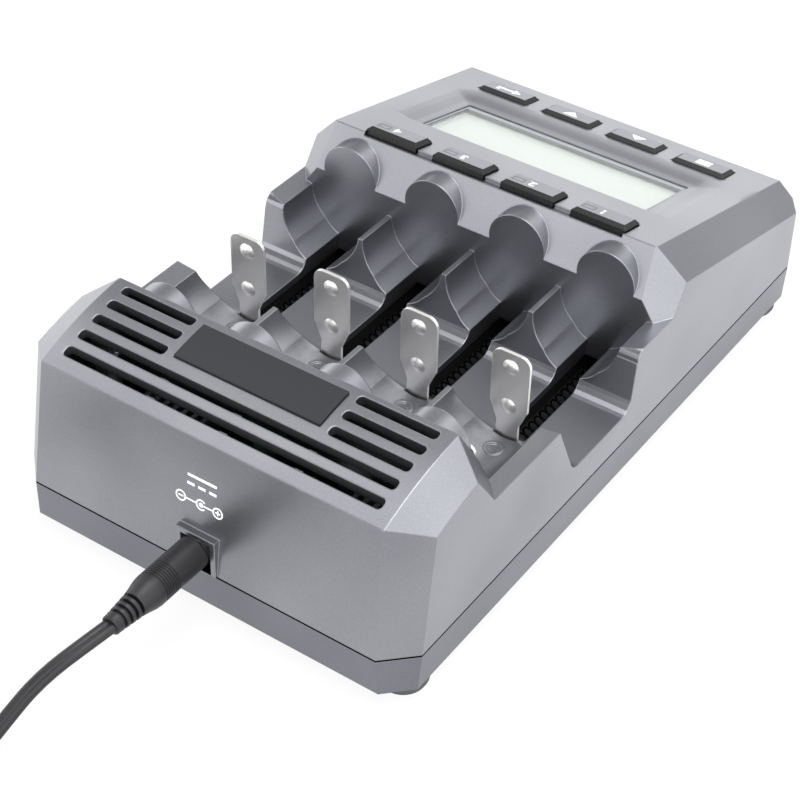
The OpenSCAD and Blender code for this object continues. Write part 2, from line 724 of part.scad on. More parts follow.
module base_housing() color("silver") difference() {
    union() {
        difference() {
            base_form(base_z, base_z1);
            base_form(base_z + wall, seam_z + 1, wall);
        }
        difference() {
            union() {
                translate([0, 0, base_z + 1]) linear_extrude(base_z1 - base_z - 1) polygon(outline(wall - 0.3));
                translate([0, 0, base_z1 - eps]) linear_extrude(lip_h) polygon(outline(wall + lip_play));
            }
            translate([0, 0, base_z]) linear_extrude(seam_z) polygon(outline(wall + lip_play + 0.9));
            for (p = screw_at) translate([p[0], p[1], base_z1]) cylinder(r = boss_r + 0.3, h = 5);
            block([-jack_frame_w, jack_front_y - 3, base_z + wall], [jack_frame_w, half_l - wall - 0.35, seam_z + 3]);
        }
        intersection() {
            base_form(base_z, base_z1, wall / 2);
            for (p = screw_at) translate([p[0], p[1], base_z]) cylinder(r = head_r + 1.4, h = base_z1 - base_z);
        }
        for (p = board_posts) translate([p[0], p[1], base_z + wall / 2]) cylinder(r = 2.6, h = board_z - base_z - wall / 2);
    }
    for (p = board_posts) translate([p[0], p[1], base_z + wall]) cylinder(r = small_screw_r + 0.05, h = 20);
    for (p = screw_at) translate([p[0], p[1], base_z - 1]) {
        cylinder(r = screw_hole_r, h = seam_z);
        cylinder(r = head_r + 0.3, h = head_seat_z - base_z + 1);
    }
    feet_places() translate([0, 0, base_z - 1]) cylinder(d = foot_d + 0.1, h = 1 + foot_seat);
    fan_grille();
    for (s = [-1, 1], i = [0 : 8])
        translate([s * 26, -58 + i * 5, base_z - 1]) linear_extrude(wall + 2) polygon(pill(24, 2, 0.9));
}

// Rings of slots under the fan
module fan_grille() translate([0, fan_y, base_z - 1]) difference() {
    for (r = [fan_bore_r - 7, fan_bore_r - 3.9, fan_bore_r - 0.8]) difference() {
        cylinder(r = r + 1.1, h = wall + 2);
        translate([0, 0, -1]) cylinder(r = r - 1.1, h = wall + 4);
    }
    for (a = [45, 135]) rotate([0, 0, a]) translate([-20, -0.8, -1]) cube([40, 1.6, wall + 4]);
}

module rubber_feet() color("dimgray") feet_places() {
    cylinder(d1 = foot_d - 1, d2 = foot_d, h = 1);
    translate([0, 0, 1]) cylinder(d = foot_d, h = base_z + foot_seat - 1);
}

module case_screws() color("gray") for (p = screw_at) translate([p[0], p[1], head_seat_z]) difference() {
    union() {
        cylinder(r = screw_r, h = 9);
        translate([0, 0, -head_h]) cylinder(r = head_r, h = head_h);
    }
    for (a = [0, 90]) rotate([0, 0, a]) translate([-1.5, -0.3, -head_h - 1]) cube([3, 0.6, 1.8]);
}

// Small screws that hold the two boards
module board_screws() color("gray") {
    for (p = board_posts) translate([p[0], p[1], board_top_z]) small_screw(board_screw_l);
    on_panel() for (s = [-1, 1], u = post_u)
        translate([s * post_x, -u, -key_board_d - board_t]) mirror([0, 0, 1]) small_screw(5);
}

// Pan head standing on z = 0 with its shank below
module small_screw(l) difference() {
    union() {
        translate([0, 0, -l]) cylinder(r = small_screw_r, h = l);
        cylinder(r = 1.9, h = 1.2);
    }
    for (a = [0, 90]) rotate([0, 0, a]) translate([-1.1, -0.2, 0.7]) cube([2.2, 0.4, 1]);
}

module bare_plate() color("darkslategray") arched_plate(badge_w, badge_l, dc_top_r - 0.6, dc_top_r + badge_h);

module lcd_window() color("lightcyan") on_panel()
    block([-lcd_w / 2 - 1.4, -lcd_u - lcd_l - 1.4, -window_d - lcd_glass], [lcd_w / 2 + 1.4, -lcd_u + 1.4, -window_d]);

module lcd_glass_cell() color("honeydew") on_panel()
    block([-lcd_w / 2 + 1, -lcd_u - lcd_l + 1, -cell_d - lcd_glass], [lcd_w / 2 - 1, -lcd_u - 1, -cell_d]);

// White frame round the cell with the diffuser behind it
module lcd_backlight() color("white") on_panel() difference() {
    block([-lcd_w / 2 - 0.8, -lcd_u - lcd_l - 0.8, -backlight_d - backlight_t], [lcd_w / 2 + 0.8, -lcd_u + 0.8, -cell_d]);
    block([-lcd_w / 2 + 0.85, -lcd_u - lcd_l + 0.85, -backlight_d], [lcd_w / 2 - 0.85, -lcd_u - 0.85, 1]);
}

module key_board() color("seagreen") difference() {
    on_panel() block([-key_board_half_w, -key_board_u1, -key_board_d - board_t], [key_board_half_w, -key_board_u0, -key_board_d]);
    on_panel() for (s = [-1, 1], u = post_u)
        translate([s * post_x, -u, -key_board_d - board_t - 1]) cylinder(r = small_screw_r + 0.1, h = board_t + 2);
    for (p = screw_at) translate([p[0], p[1], 0]) cylinder(r = boss_r + 0.6, h = sky);
}

// Button, stem and side lips of one key, pressed along the panel's normal
module key_cap(x, u, h) on_panel() translate([x, -u - key_l / 2, 0]) {
    hull() {
        block([-key_w / 2, -key_l / 2, -0.2], [key_w / 2, key_l / 2, h - key_bevel]);
        block([-key_w / 2 + key_bevel, -key_l / 2 + key_bevel, 0], [key_w / 2 - key_bevel, key_l / 2 - key_bevel, h]);
    }
    difference() {
        block([-key_w / 2, -key_l / 2, -key_skirt], [key_w / 2, key_l / 2, -0.2]);
        block([-key_w / 2 + 1.2, -key_l / 2 + 1.2, -key_skirt - 1], [key_w / 2 - 1.2, key_l / 2 - 1.2, -1.4]);
    }
    for (s = [-1, 1]) block([s * (key_w / 2 + 0.5) - 0.7, -2, -key_skirt], [s * (key_w / 2 + 0.5) + 0.7, 2, -wall - 0.1]);
    translate([0, 0, -key_skirt]) cylinder(r = 1.6, h = key_skirt - 0.8);
}

module slot_key(i) color("dimgray") key_cap(key_x(i), slot_key_u, slot_key_h);
module menu_key(i) color("dimgray") key_cap(key_x(i), menu_key_u, menu_key_h);

module key_switches() color("black") on_panel()
    for (i = [1 : bays], u = [slot_key_u, menu_key_u]) translate([key_x(i), -u - key_l / 2, -key_board_d]) {
        height = key_board_d - switch_top_d;
        block([-3, -3, 0], [3, 3, height - 0.8]);
        cylinder(r = 1.7, h = height);
    }

// Blade outline in X and Z
blade_side = let (w = blade_w / 2, n = neck_w / 2, shoulder = 33, foot = 28.5) concat(
    [[n, slider_z + 0.6], [n, foot]], arc([w - 1.2, shoulder + 0.7], 1.2, -48, 0, 3),
    arc([w - 2.5, blade_top_z - 2.5], 2.5, 0, 90), arc([-w + 2.5, blade_top_z - 2.5], 2.5, 90, 180),
    arc([-w + 1.2, shoulder + 0.7], 1.2, 180, 228, 3), [[-n, foot], [-n, slider_z + 0.6]]
);

// Dimple pressed out of a sheet, standing towards +Y with out = 1
module dimple(x, y, z, out, t) {
    r = (dimple_d ^ 2 / 4 + dimple_h ^ 2) / (2 * dimple_h);
    translate([x, y, z]) rotate([-out * 90, 0, 0]) intersection() {
        translate([0, 0, dimple_h - r]) sphere(r = r);
        cylinder(r = dimple_d, h = dimple_h + 1);
    }
}

module dimple_back(x, y, z, out, t) {
    r = (dimple_d ^ 2 / 4 + dimple_h ^ 2) / (2 * dimple_h);
    translate([x, y, z]) rotate([-out * 90, 0, 0]) translate([0, 0, dimple_h - r]) sphere(r = r - t);
}

module contact_blade(i) color("lightgray") difference() {
    union() {
        translate([bay_x(i), 0, 0]) along(blade_side, blade_back_y, blade_y);
        for (z = [44.9, 33.7]) dimple(bay_x(i), blade_y, z, 1, blade_t);
    }
    for (z = [44.9, 33.7]) dimple_back(bay_x(i), blade_y, z, 1, blade_t);
}

module slider(i) color("dimgray") difference() {
    block([bay_x(i) - slider_w / 2, slider_y0, slider_z], [bay_x(i) + slider_w / 2, slider_y1, slider_top_z]);
    block([bay_x(i) - neck_w / 2, blade_back_y, slider_z + 0.6], [bay_x(i) + neck_w / 2, blade_y, slider_top_z + 1]);
}

// One moulding: a plate with a channel under each slot
module slider_rails() color("black") difference() {
    union() {
        block([bay_x(1) - channel_w / 2 - channel_wall, channel_y0 - channel_wall, channel_floor_z - channel_wall],
              [bay_x(bays) + channel_w / 2 + channel_wall, channel_y1 + channel_wall, channel_floor_z]);
        for (i = [1 : bays])
            block([bay_x(i) - channel_w / 2 - channel_wall, channel_y0 - channel_wall, channel_floor_z - eps],
                  [bay_x(i) + channel_w / 2 + channel_wall, channel_y1 + channel_wall, tray_z]);
    }
    for (i = [1 : bays])
        block([bay_x(i) - channel_w / 2, channel_y0, channel_floor_z], [bay_x(i) + channel_w / 2, channel_y1, tray_z + 1]);
    for (p = peg_at) translate([p[0], p[1], 0]) cylinder(r = 2.05, h = sky);
}

// Wire ring number k of the helix, at steps of an eighth of a turn
function helix_ring(k, n, x) =
    let (steps = 8, sides = 4, rm = (spring_d - spring_wire) / 2,
         y = spring_y0 + spring_wire / 2 + (spring_y1 - spring_y0 - spring_wire) * k / n, a = 360 * k / steps)
    [for (j = [0 : sides - 1]) let (b = -360 * j / sides, r = rm + spring_wire / 2 * cos(b))
        [x + r * cos(a), y + spring_wire / 2 * sin(b), spring_z + r * sin(a)]];

module return_spring(i) color("gray") {
    n = spring_turns * 8;
    sides = 4;
    polyhedron(
        [for (k = [0 : n]) each helix_ring(k, n, bay_x(i))],
        concat(
            [[for (j = [0 : sides - 1]) j]],
            [for (k = [0 : n - 1], j = [0 : sides - 1])
                [k * sides + j, (k + 1) * sides + j, (k + 1) * sides + (j + 1) % sides, k * sides + (j + 1) % sides]],
            [[for (j = [sides - 1 : -1 : 0]) n * sides + j]]
        )
    );
}

// Plate that the cell's foot rests against, with its tail down to the main board
module fixed_contact(i) color("lightgray") difference() {
    union() {
        intersection() {
            translate([bay_x(i), 0, 0]) along(concat(
                [[-plate_w / 2, 24], [plate_w / 2, 24]],
                arc([plate_w / 2 - 2, plate_top_z - 2], 2, 0, 90),
                arc([-plate_w / 2 + 2, plate_top_z - 2], 2, 90, 180)
            ), contact_y, contact_y + plate_t);
            union() {
                rod(bay_x(i), contact_y - 1, cradle_z, cradle_r - 0.3, 4);
                rod(bay_x(i), contact_y - 1, upper_z, upper_r - 0.3, 4);
            }
        }
        block([bay_x(i) - tail_w / 2, contact_y, board_top_z], [bay_x(i) + tail_w / 2, contact_y + plate_t, 27]);
        block([bay_x(i) - tail_w / 2, contact_y + plate_t - eps, plate_top_z - 3],
              [bay_x(i) + tail_w / 2, wall_y1, plate_top_z - 2.2]);
        for (z = [40.2, 31.6]) dimple(bay_x(i), contact_y, z, -1, plate_t);
    }
    for (z = [40.2, 31.6]) dimple_back(bay_x(i), contact_y, z, -1, plate_t);
}

module main_board() color("seagreen") difference() {
    block([-board_half_w, board_y0, board_z], [board_half_w, board_y1, board_top_z]);
    for (p = board_posts) translate([p[0], p[1], 0]) cylinder(r = small_screw_r + 0.1, h = sky);
    block([-fan_w / 2 - 0.6, fan_y - fan_w / 2 - 0.6, 0], [fan_w / 2 + 0.6, fan_y + fan_w / 2 + 0.6, sky]);
    for (p = screw_at) translate([p[0], p[1], 0]) cylinder(r = head_r + 1.8, h = sky);
}

// Tall parts stand clear of the rails; flat ones lie under them
module board_parts() {
    color("black") {
        for (i = [1 : bays]) block([bay_x(i) - 3.5, -8, board_top_z], [bay_x(i) + 3.5, 4, board_top_z + 1.6]);
        block([-9, board_y0 + 10, board_top_z], [9, board_y0 + 24, board_top_z + 1.6]);
    }
    color("dimgray") for (i = [1 : bays]) translate([bay_x(i), wall_y1 - 13, board_top_z]) {
        cylinder(r = 5, h = 1.2);
        cylinder(r = 3.2, h = 5);
        translate([0, 0, 4.6]) cylinder(r = 5, h = 1.2);
    }
    color("midnightblue") for (x = [-32, -22, 22, 32]) translate([x, board_y0 + 14, board_top_z]) cylinder(r = 4, h = 12);
    color("goldenrod") for (x = [-4, 4]) block([x - 3, wall_y1 - 8, board_top_z], [x + 3, wall_y1 - 5, board_top_z + 4]);
}

module heat_sink() color("slategray") for (x0 = [-sink_x1, sink_x0]) {
    sink_w = sink_x1 - sink_x0;
    block([x0, sink_y0, board_top_z], [x0 + sink_w, sink_y1, board_top_z + 2.5]);
    for (k = [0 : sink_fins - 1]) let (x = x0 + k * (sink_w - fin_t) / (sink_fins - 1))
        block([x, sink_y0, board_top_z + 2.5 - eps], [x + fin_t, sink_y1, board_top_z + sink_h]);
}

module fan_frame() color("black") translate([0, fan_y, fan_z]) {
    difference() {
        translate([-fan_w / 2, -fan_w / 2, 0]) cube([fan_w, fan_w, fan_h]);
        translate([0, 0, -1]) cylinder(r = fan_bore_r, h = fan_h + 2);
        for (sx = [-1, 1], sy = [-1, 1])
            translate([sx * (fan_w / 2 - 2.3), sy * (fan_w / 2 - 2.3), -1]) cylinder(r = 1.3, h = fan_h + 2);
    }
    difference() {
        union() {
            translate([0, 0, fan_h - 1.6]) cylinder(r = fan_hub_r, h = 1.6);
            translate([0, 0, 1.8]) cylinder(r = 2.2, h = fan_h - 1.8);
            for (a = [45 : 90 : 315]) rotate([0, 0, a])
                translate([fan_hub_r - 1, -0.8, fan_h - 1.6]) cube([fan_bore_r - fan_hub_r + 1.4, 1.6, 1.6]);
        }
        cylinder(r = fan_shaft_r + 0.05, h = fan_h - 0.6);
    }
}

module fan_rotor() color("black") translate([0, fan_y, fan_z]) {
    difference() {
        translate([0, 0, 0.4]) cylinder(r = fan_hub_r, h = fan_h - 2.5);
        translate([0, 0, 1.4]) cylinder(r = fan_hub_r - 0.9, h = fan_h);
    }
    translate([0, 0, 0.5]) cylinder(r = fan_shaft_r, h = fan_h - 2);
    intersection() {
        for (k = [0 : fan_blades - 1]) rotate([0, 0, 360 * k / fan_blades])
            translate([fan_hub_r - 0.5, 0, fan_h / 2 - 0.9]) rotate([38, 0, 0])
                translate([0, -3, -0.35]) cube([fan_bore_r, 6, 0.7]);
        translate([0, 0, 0.5]) difference() {
            cylinder(r = fan_bore_r - 0.5, h = fan_h - 2.7);
            translate([0, 0, -1]) cylinder(r = fan_hub_r - 0.4, h = fan_h);
        }
    }
}

module dc_jack() color("black") difference() {
    union() {
        difference() {
            block([-jack_open_w / 2 + 0.15, jack_front_y - 11, board_top_z], [jack_open_w / 2 - 0.15, jack_front_y, jack_open_z - 0.15]);
            rod(0, jack_front_y - 10, jack_z, barrel_r + 0.1, 12);
        }
        rod(0, jack_front_y - 10.2, jack_z, 1, 9.4);
    }
}

// Plug body: smooth grip, fine rings, cone and the slotted strain relief
module dc_plug_grip() color("dimgray") translate([0, plug_y0, jack_z]) rotate([-90, 0, 0]) rotate_extrude() {
    relief = plug_l - 9.1;
    polygon(concat(
        [[0, 0], [plug_r - 0.5, 0], [plug_r, 0.5]],
        [for (k = [0 : 5]) let (y = relief - 10.1 + k * 0.66)
            each [[plug_r, y], [plug_r - 0.22, y + 0.12], [plug_r - 0.22, y + 0.4], [plug_r, y + 0.5]]],
        [[plug_r - 0.05, relief - 5.8], [plug_r * 0.76, relief - 1], [plug_r * 0.72, relief]],
        [for (k = [0 : 3]) let (y = relief + k * 1.65, r = plug_r * (0.72 - 0.03 * k))
            each [[cord_r + 0.15, y + 0.05], [cord_r + 0.15, y + 0.85], [r - 0.05, y + 0.9], [r - 0.12, y + 1.6]]],
        [[cord_r + 0.35, plug_l - 0.2], [cord_r + 0.1, plug_l], [0, plug_l]]
    ));
}

module dc_plug_barrel() color("silver") difference() {
    rod(0, plug_y0 - barrel_l, jack_z, barrel_r, barrel_l);
    rod(0, plug_y0 - barrel_l - 1, jack_z, 1.25, barrel_l);
}

// Oval tube swept along a route, with its ends square to it
module tube(route, r, thin, sides = 8) {
    n = len(route);
    function way(k) = unit(route[min(k + 1, n - 1)] - route[max(k - 1, 0)]);
    loft([for (k = [0 : n - 1]) let (t = way(k), a = unit(cross(t, [0, 0, 1])), b = cross(t, a))
        [for (j = [0 : sides - 1]) route[k] + r * (cos(360 * j / sides) * a + thin * sin(360 * j / sides) * b)]]);
}

module supply_cord() color("dimgray") tube(cord_end, cord_r, cord_t / cord_d);
module cord_tail() color("dimgray") tube(tail_route, cord_r, cord_t / cord_d);

// Section of the wound cord, from z0 up
function coil_section(z0) = [
    [coil_in_r, z0], [coil_out_r, z0], [coil_out_r, cord_t], [coil_out_r - cord_d / 2, coil_h],
    [coil_in_r + cord_d / 2, coil_h], [coil_in_r, cord_t]
];

module cord_coil() color("dimgray") translate([coil_c[0], coil_c[1], 0]) rotate_extrude() polygon(coil_section(0));

// Strap round the bundle on the side away from the case
module cord_tie() color("black") translate([coil_c[0], coil_c[1], 0]) rotate([0, 0, 80]) difference() {
    block([coil_in_r - 1, -1.5, 0], [coil_out_r + 1, 1.5, coil_h + 1]);
    rotate([0, 0, -30]) rotate_extrude(angle = 60) polygon(coil_section(-1));
}

module inline_socket() color("black") translate([socket_at[0], socket_at[1], socket_at[2]]) rotate([90, 0, 0]) difference() {
    rotate_extrude() polygon([
        [0, 0], [cord_r + 0.6, 0], [cord_r + 1, 4], [socket_d / 2, 7], [socket_d / 2, socket_l - 0.5],
        [socket_d / 2 - 0.5, socket_l], [0, socket_l]
    ]);
    translate([0, 0, socket_l - 10]) cylinder(r = barrel_r + 0.1, h = 11);
}

top_housing();
base_housing();
rubber_feet();
case_screws();
board_screws();
bare_plate();
lcd_window();
lcd_glass_cell();
lcd_backlight();
key_board();
key_switches();
slot_key(1);  // slot_key_1
slot_key(2);  // slot_key_2
slot_key(3);  // slot_key_3
slot_key(4);  // slot_key_4
menu_key(4);  // key_enter
menu_key(2);  // key_up
menu_key(3);  // key_down
menu_key(1);  // key_stop
contact_blade(1);  // contact_blade_1
contact_blade(2);  // contact_blade_2
contact_blade(3);  // contact_blade_3
contact_blade(4);  // contact_blade_4
slider(1);  // slider_1
slider(2);  // slider_2
slider(3);  // slider_3
slider(4);  // slider_4
slider_rails();
return_spring(1);  // return_spring_1
return_spring(2);  // return_spring_2
return_spring(3);  // return_spring_3
return_spring(4);  // return_spring_4
fixed_contact(1);  // fixed_contact_1
fixed_contact(2);  // fixed_contact_2
fixed_contact(3);  // fixed_contact_3
fixed_contact(4);  // fixed_contact_4
main_board();
board_parts();
heat_sink();
fan_frame();
fan_rotor();
dc_jack();
dc_plug_grip();
dc_plug_barrel();
supply_cord();
cord_coil();
cord_tail();
cord_tie();
inline_socket();
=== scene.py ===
"""Looks of a four-bay desktop charger: lacquered shell, nickel contacts, black keys and a twin lead."""

import json
import math

import bpy
from mathutils import Matrix, Vector


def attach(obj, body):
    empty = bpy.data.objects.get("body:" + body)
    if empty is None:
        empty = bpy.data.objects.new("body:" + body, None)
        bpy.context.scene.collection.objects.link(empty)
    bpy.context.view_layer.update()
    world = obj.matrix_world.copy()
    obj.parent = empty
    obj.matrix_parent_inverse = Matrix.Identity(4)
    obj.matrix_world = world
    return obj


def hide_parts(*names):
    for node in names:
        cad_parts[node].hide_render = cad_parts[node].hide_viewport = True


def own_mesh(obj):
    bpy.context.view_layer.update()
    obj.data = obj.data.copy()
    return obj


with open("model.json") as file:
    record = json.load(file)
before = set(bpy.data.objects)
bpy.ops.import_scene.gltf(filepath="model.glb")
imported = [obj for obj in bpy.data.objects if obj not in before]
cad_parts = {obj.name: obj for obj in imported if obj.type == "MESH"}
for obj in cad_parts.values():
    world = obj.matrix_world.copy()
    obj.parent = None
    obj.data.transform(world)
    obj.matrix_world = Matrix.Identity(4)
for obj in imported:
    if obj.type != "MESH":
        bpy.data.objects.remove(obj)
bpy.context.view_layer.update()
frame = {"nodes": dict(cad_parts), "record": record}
nodes = frame["nodes"]
MM = 0.001

# ---------------------------------------------------------------- sizes from the part's source, in mm

BAY_X = [-37.425, -12.475, 12.475, 37.425]
SEAM_Z = 13.8

# Display panel: its bay edge and its low edge as (y, z). Places on it are given by x and by u, the way down it
PANEL_TOP, PANEL_FOOT = (-21.8, 53.95), (-88.7, 37.2)
PANEL_EDGE = Vector((0, *PANEL_TOP)) * MM
PANEL_TILT = math.atan2(PANEL_TOP[1] - PANEL_FOOT[1], PANEL_TOP[0] - PANEL_FOOT[0])
PANEL_OUT = (0, -math.sin(PANEL_TILT), math.cos(PANEL_TILT))
DISH_MIDDLE_U = 50.8
WINDOW_DEPTH = 1.5
WINDOW_X, WINDOW_U0, WINDOW_U1 = 33.3, 19.2, 44.6

# Keys: places, size on top with the bevels, and how far they stand out
KEY_X = [-30, -10, 10, 30]
KEY_W, KEY_L, KEY_BEVEL = 15, 7.4, 0.9
SLOT_KEY_U, SLOT_KEY_RISE = 4.6, 1.4
MENU_KEY_U, MENU_KEY_RISE = 59.5, 0.9

# Return springs: ends, height, radius of the coil and of the wire
SPRING_Y0, SPRING_Y1, SPRING_Z = -34.8, 20.6, 17.45
SPRING_R, WIRE_R, SPRING_TURNS = 1.95, 0.25, 22

# Plug and twin lead
JACK_Z = 19.6
PLUG_Y0, CORD_Y0 = 94.4, 121.9
CORD_W, CORD_T = 3.9, 2.3
COIL_CENTRE = (39, 180)

# Thickness of printed marks
INK = 0.02


# ---------------------------------------------------------------- small helpers

def linear(hex_colour):
    """sRGB hex colour as linear RGBA."""
    parts = [int(hex_colour[k:k + 2], 16) / 255 for k in (1, 3, 5)]
    return [v / 12.92 if v <= 0.04045 else ((v + 0.055) / 1.055) ** 2.4 for v in parts] + [1]


def put(tree, kind, links=None, values=None, **settings):
    """Adds one shader node: settings are its properties, links and values go to its sockets."""
    node = tree.nodes.new("ShaderNode" + kind)
    for name, value in settings.items():
        setattr(node, name, value)
    for name, value in (values or {}).items():
        node.inputs[name].default_value = value
    for name, source in (links or {}).items():
        tree.links.new(source, node.inputs[name])
    return node


def blank_material(name):
    """New material with an empty node tree, and its Object coordinates."""
    material = bpy.data.materials.new(name)
    material.use_nodes = True
    material.node_tree.nodes.clear()
    return material, material.node_tree, put(material.node_tree, "TexCoord").outputs["Object"]


def close(tree, surface):
    """Ends a material with this shader."""
    put(tree, "OutputMaterial", {"Surface": surface.outputs[0]})


def only(piece):
    """Selects one piece and nothing else."""
    bpy.ops.object.select_all(action="DESELECT")
    piece.select_set(True)
    bpy.context.view_layer.objects.active = piece


def fresh(name):
    """Names the piece that an add operator has just made."""
    piece = bpy.context.object
    piece.name = piece.data.name = name
    return piece


def settle(piece):
    """Puts a piece's place into its mesh."""
    only(piece)
    bpy.ops.object.transform_apply(location=True, rotation=True, scale=True)


def smooth(piece, degrees):
    """Shades smooth across edges that turn by less than degrees."""
    only(piece)
    bpy.ops.object.shade_smooth_by_angle(angle=math.radians(degrees))


def fit_out(piece, body, material):
    """Gives a new piece its material and the body it moves with."""
    piece.data.materials.clear()
    piece.data.materials.append(material)
    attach(piece, body)


def lay(piece, origin, right, normal):
    """Moves a mark drawn flat in X and Y onto a surface: its X along right, its Z along normal."""
    settle(piece)
    right = Vector(right).normalized()
    normal = Vector(normal).normalized()
    up = normal.cross(right)
    turn = Matrix((right, up, normal)).transposed().to_4x4()
    piece.data.transform(Matrix.Translation(origin) @ turn)


def on_panel(x, u, height):
    """Point over the display panel: x across, u down from its bay edge, height above it, in mm."""
    y, z = -u * MM, height * MM
    cos, sin = math.cos(PANEL_TILT), math.sin(PANEL_TILT)
    return PANEL_EDGE + Vector((x * MM, y * cos - z * sin, y * sin + z * cos))


def joined(pieces, name):
    """Joins pieces into the first one and names it."""
    bpy.ops.object.select_all(action="DESELECT")
    for piece in pieces:
        piece.select_set(True)
    bpy.context.view_layer.objects.active = pieces[0]
    bpy.ops.object.join()
    return fresh(name)


def swept(name, path, section, up=(0, 0, 1)):
    """Closed tube through the points of path, in metres; section gives its outline as (across, up) pairs."""
    points = [Vector(p) for p in path]
    verts, faces, n = [], [], len(section)
    for k, point in enumerate(points):
        along = (points[min(k + 1, len(points) - 1)] - points[max(k - 1, 0)]).normalized()
        across = along.cross(Vector(up)).normalized()
        rise = across.cross(along)
        verts += [point + across * a + rise * b for a, b in section]
    for k in range(len(points) - 1):
        for j in range(n):
            faces.append((k * n + j, k * n + (j + 1) % n, (k + 1) * n + (j + 1) % n, (k + 1) * n + j))
    faces.append(tuple(range(n - 1, -1, -1)))
    faces.append(tuple((len(points) - 1) * n + j for j in range(n)))
    mesh = bpy.data.meshes.new(name)
    mesh.from_pydata(verts, [], faces)
    piece = bpy.data.objects.new(name, mesh)
    bpy.context.collection.objects.link(piece)
    only(piece)
    bpy.ops.object.mode_set(mode="EDIT")
    bpy.ops.mesh.select_all(action="SELECT")
    bpy.ops.mesh.normals_make_consistent(inside=False)
    bpy.ops.object.mode_set(mode="OBJECT")
    return piece


def eased(points, step):
    """Smooth line through the points (Catmull-Rom), with points about step apart."""
    pts = [Vector(p) for p in points]
    pts = [2 * pts[0] - pts[1]] + pts + [2 * pts[-1] - pts[-2]]
    line = []
    for k in range(1, len(pts) - 2):
        a, b, c, d = pts[k - 1:k + 3]
        count = max(1, round((c - b).length / step))
        for j in range(count):
            t = j / count
            square, cube = 2 * a - 5 * b + 4 * c - d, 3 * b - a - 3 * c + d
            line.append(0.5 * (2 * b + (c - a) * t + square * t * t + cube * t ** 3))
    return line + [pts[-2]]


# ---------------------------------------------------------------- camera, fitted to the case's edges in the photo

CAMERA_AIM = Vector((-13.9, 35.93, 30)) * MM
CAMERA_AWAY = 0.46802
azimuth, elevation, roll = math.radians(213.61), math.radians(39.9), math.radians(1.66)
back = Vector((math.cos(elevation) * math.sin(azimuth), -math.cos(elevation) * math.cos(azimuth), math.sin(elevation)))
right = Vector((math.cos(azimuth), math.sin(azimuth), 0))
up = back.cross(right)
seen_right = right * math.cos(roll) + up * math.sin(roll)
seen_up = -right * math.sin(roll) + up * math.cos(roll)
camera_data = bpy.data.cameras.new("camera")
camera_data.lens = 91.23
camera_data.sensor_width = 36
camera_data.clip_start = 0.02
camera = bpy.data.objects.new("camera", camera_data)
bpy.context.collection.objects.link(camera)
camera.matrix_world = (
    Matrix.Translation(CAMERA_AIM + back * CAMERA_AWAY)
    @ Matrix((seen_right, seen_up, back)).transposed().to_4x4()
)
bpy.context.scene.camera = camera
bpy.context.scene.view_settings.view_transform = "Standard"


# ---------------------------------------------------------------- materials

def metallic_lacquer(name, dark, light, metallic, roughness):
    # Silver-grey lacquer with fine aluminium flake, sprayed on moulded ABS. The flakes give a faint sparkle and
    # the metal in it darkens the faces that look at nothing bright. Real flake is about 0.05 mm: it is drawn at
    # 0.3 mm, or it would not show. Moulded edges are rounded by about 0.4 mm and catch a thin light line.
    flake_size, edge, dish_edge, seam_shade_width = 0.3 * MM, 0.42 * MM, 3 * MM, 0.24 * MM
    material, tree, place = blank_material(name)
    flake = put(tree, "TexNoise", {"Vector": place}, {"Scale": 1 / flake_size, "Detail": 2, "Roughness": 0.6})
    cloud = put(tree, "TexNoise", {"Vector": place}, {"Scale": 1 / (30 * MM), "Detail": 1})
    mixed = put(tree, "Math", {0: flake.outputs[0], 1: cloud.outputs[0]}, operation="ADD")
    share = put(tree, "MapRange", {"Value": mixed.outputs[0]}, {"From Min": 0.7, "From Max": 1.3})
    colour = put(tree, "MixRGB", {"Fac": share.outputs[0]}, {"Color1": linear(dark), "Color2": linear(light)})
    # The two shells meet in a dark line: painted shade, a near-black band round the seam's height that stands for the
    # shadow in the gap between them
    height = put(tree, "SeparateXYZ", {0: place}).outputs["Z"]
    seam_shade = put(tree, "Math", {0: height}, {1: SEAM_Z * MM, 2: seam_shade_width}, operation="COMPARE")
    colour = put(tree, "MixRGB", {"Fac": seam_shade.outputs[0], "Color1": colour.outputs[0]}, {"Color2": linear("#101013")})
    gloss = put(tree, "MapRange", {"Value": flake.outputs[0]},
                {"From Min": 0.3, "From Max": 0.7, "To Min": roughness - 0.04, "To Max": roughness + 0.04})
    # The dish round the display is one soft hollow: the edges half way down its wide slope are rounded by 3 mm
    off = put(tree, "VectorMath", {0: place}, {1: on_panel(0, DISH_MIDDLE_U, 0)}, operation="SUBTRACT")
    off = put(tree, "VectorMath", {0: off.outputs[0]}, {1: (0, 1, 1)}, operation="MULTIPLY")
    off = put(tree, "VectorMath", {0: off.outputs[0]}, operation="LENGTH")
    round_off = put(tree, "MapRange", {"Value": off.outputs["Value"]},
                    {"From Min": 3 * MM, "From Max": 6.2 * MM, "To Min": dish_edge, "To Max": edge})
    edges = put(tree, "Bevel", {"Radius": round_off.outputs[0]}, samples=8)
    grain = put(tree, "Bump", {"Height": flake.outputs[0], "Normal": edges.outputs[0]},
                {"Strength": 0.12, "Distance": 0.02 * MM})
    close(tree, put(tree, "BsdfPrincipled",
                    {"Base Color": colour.outputs[0], "Roughness": gloss.outputs[0], "Normal": grain.outputs[0]},
                    {"Metallic": metallic}))
    return material


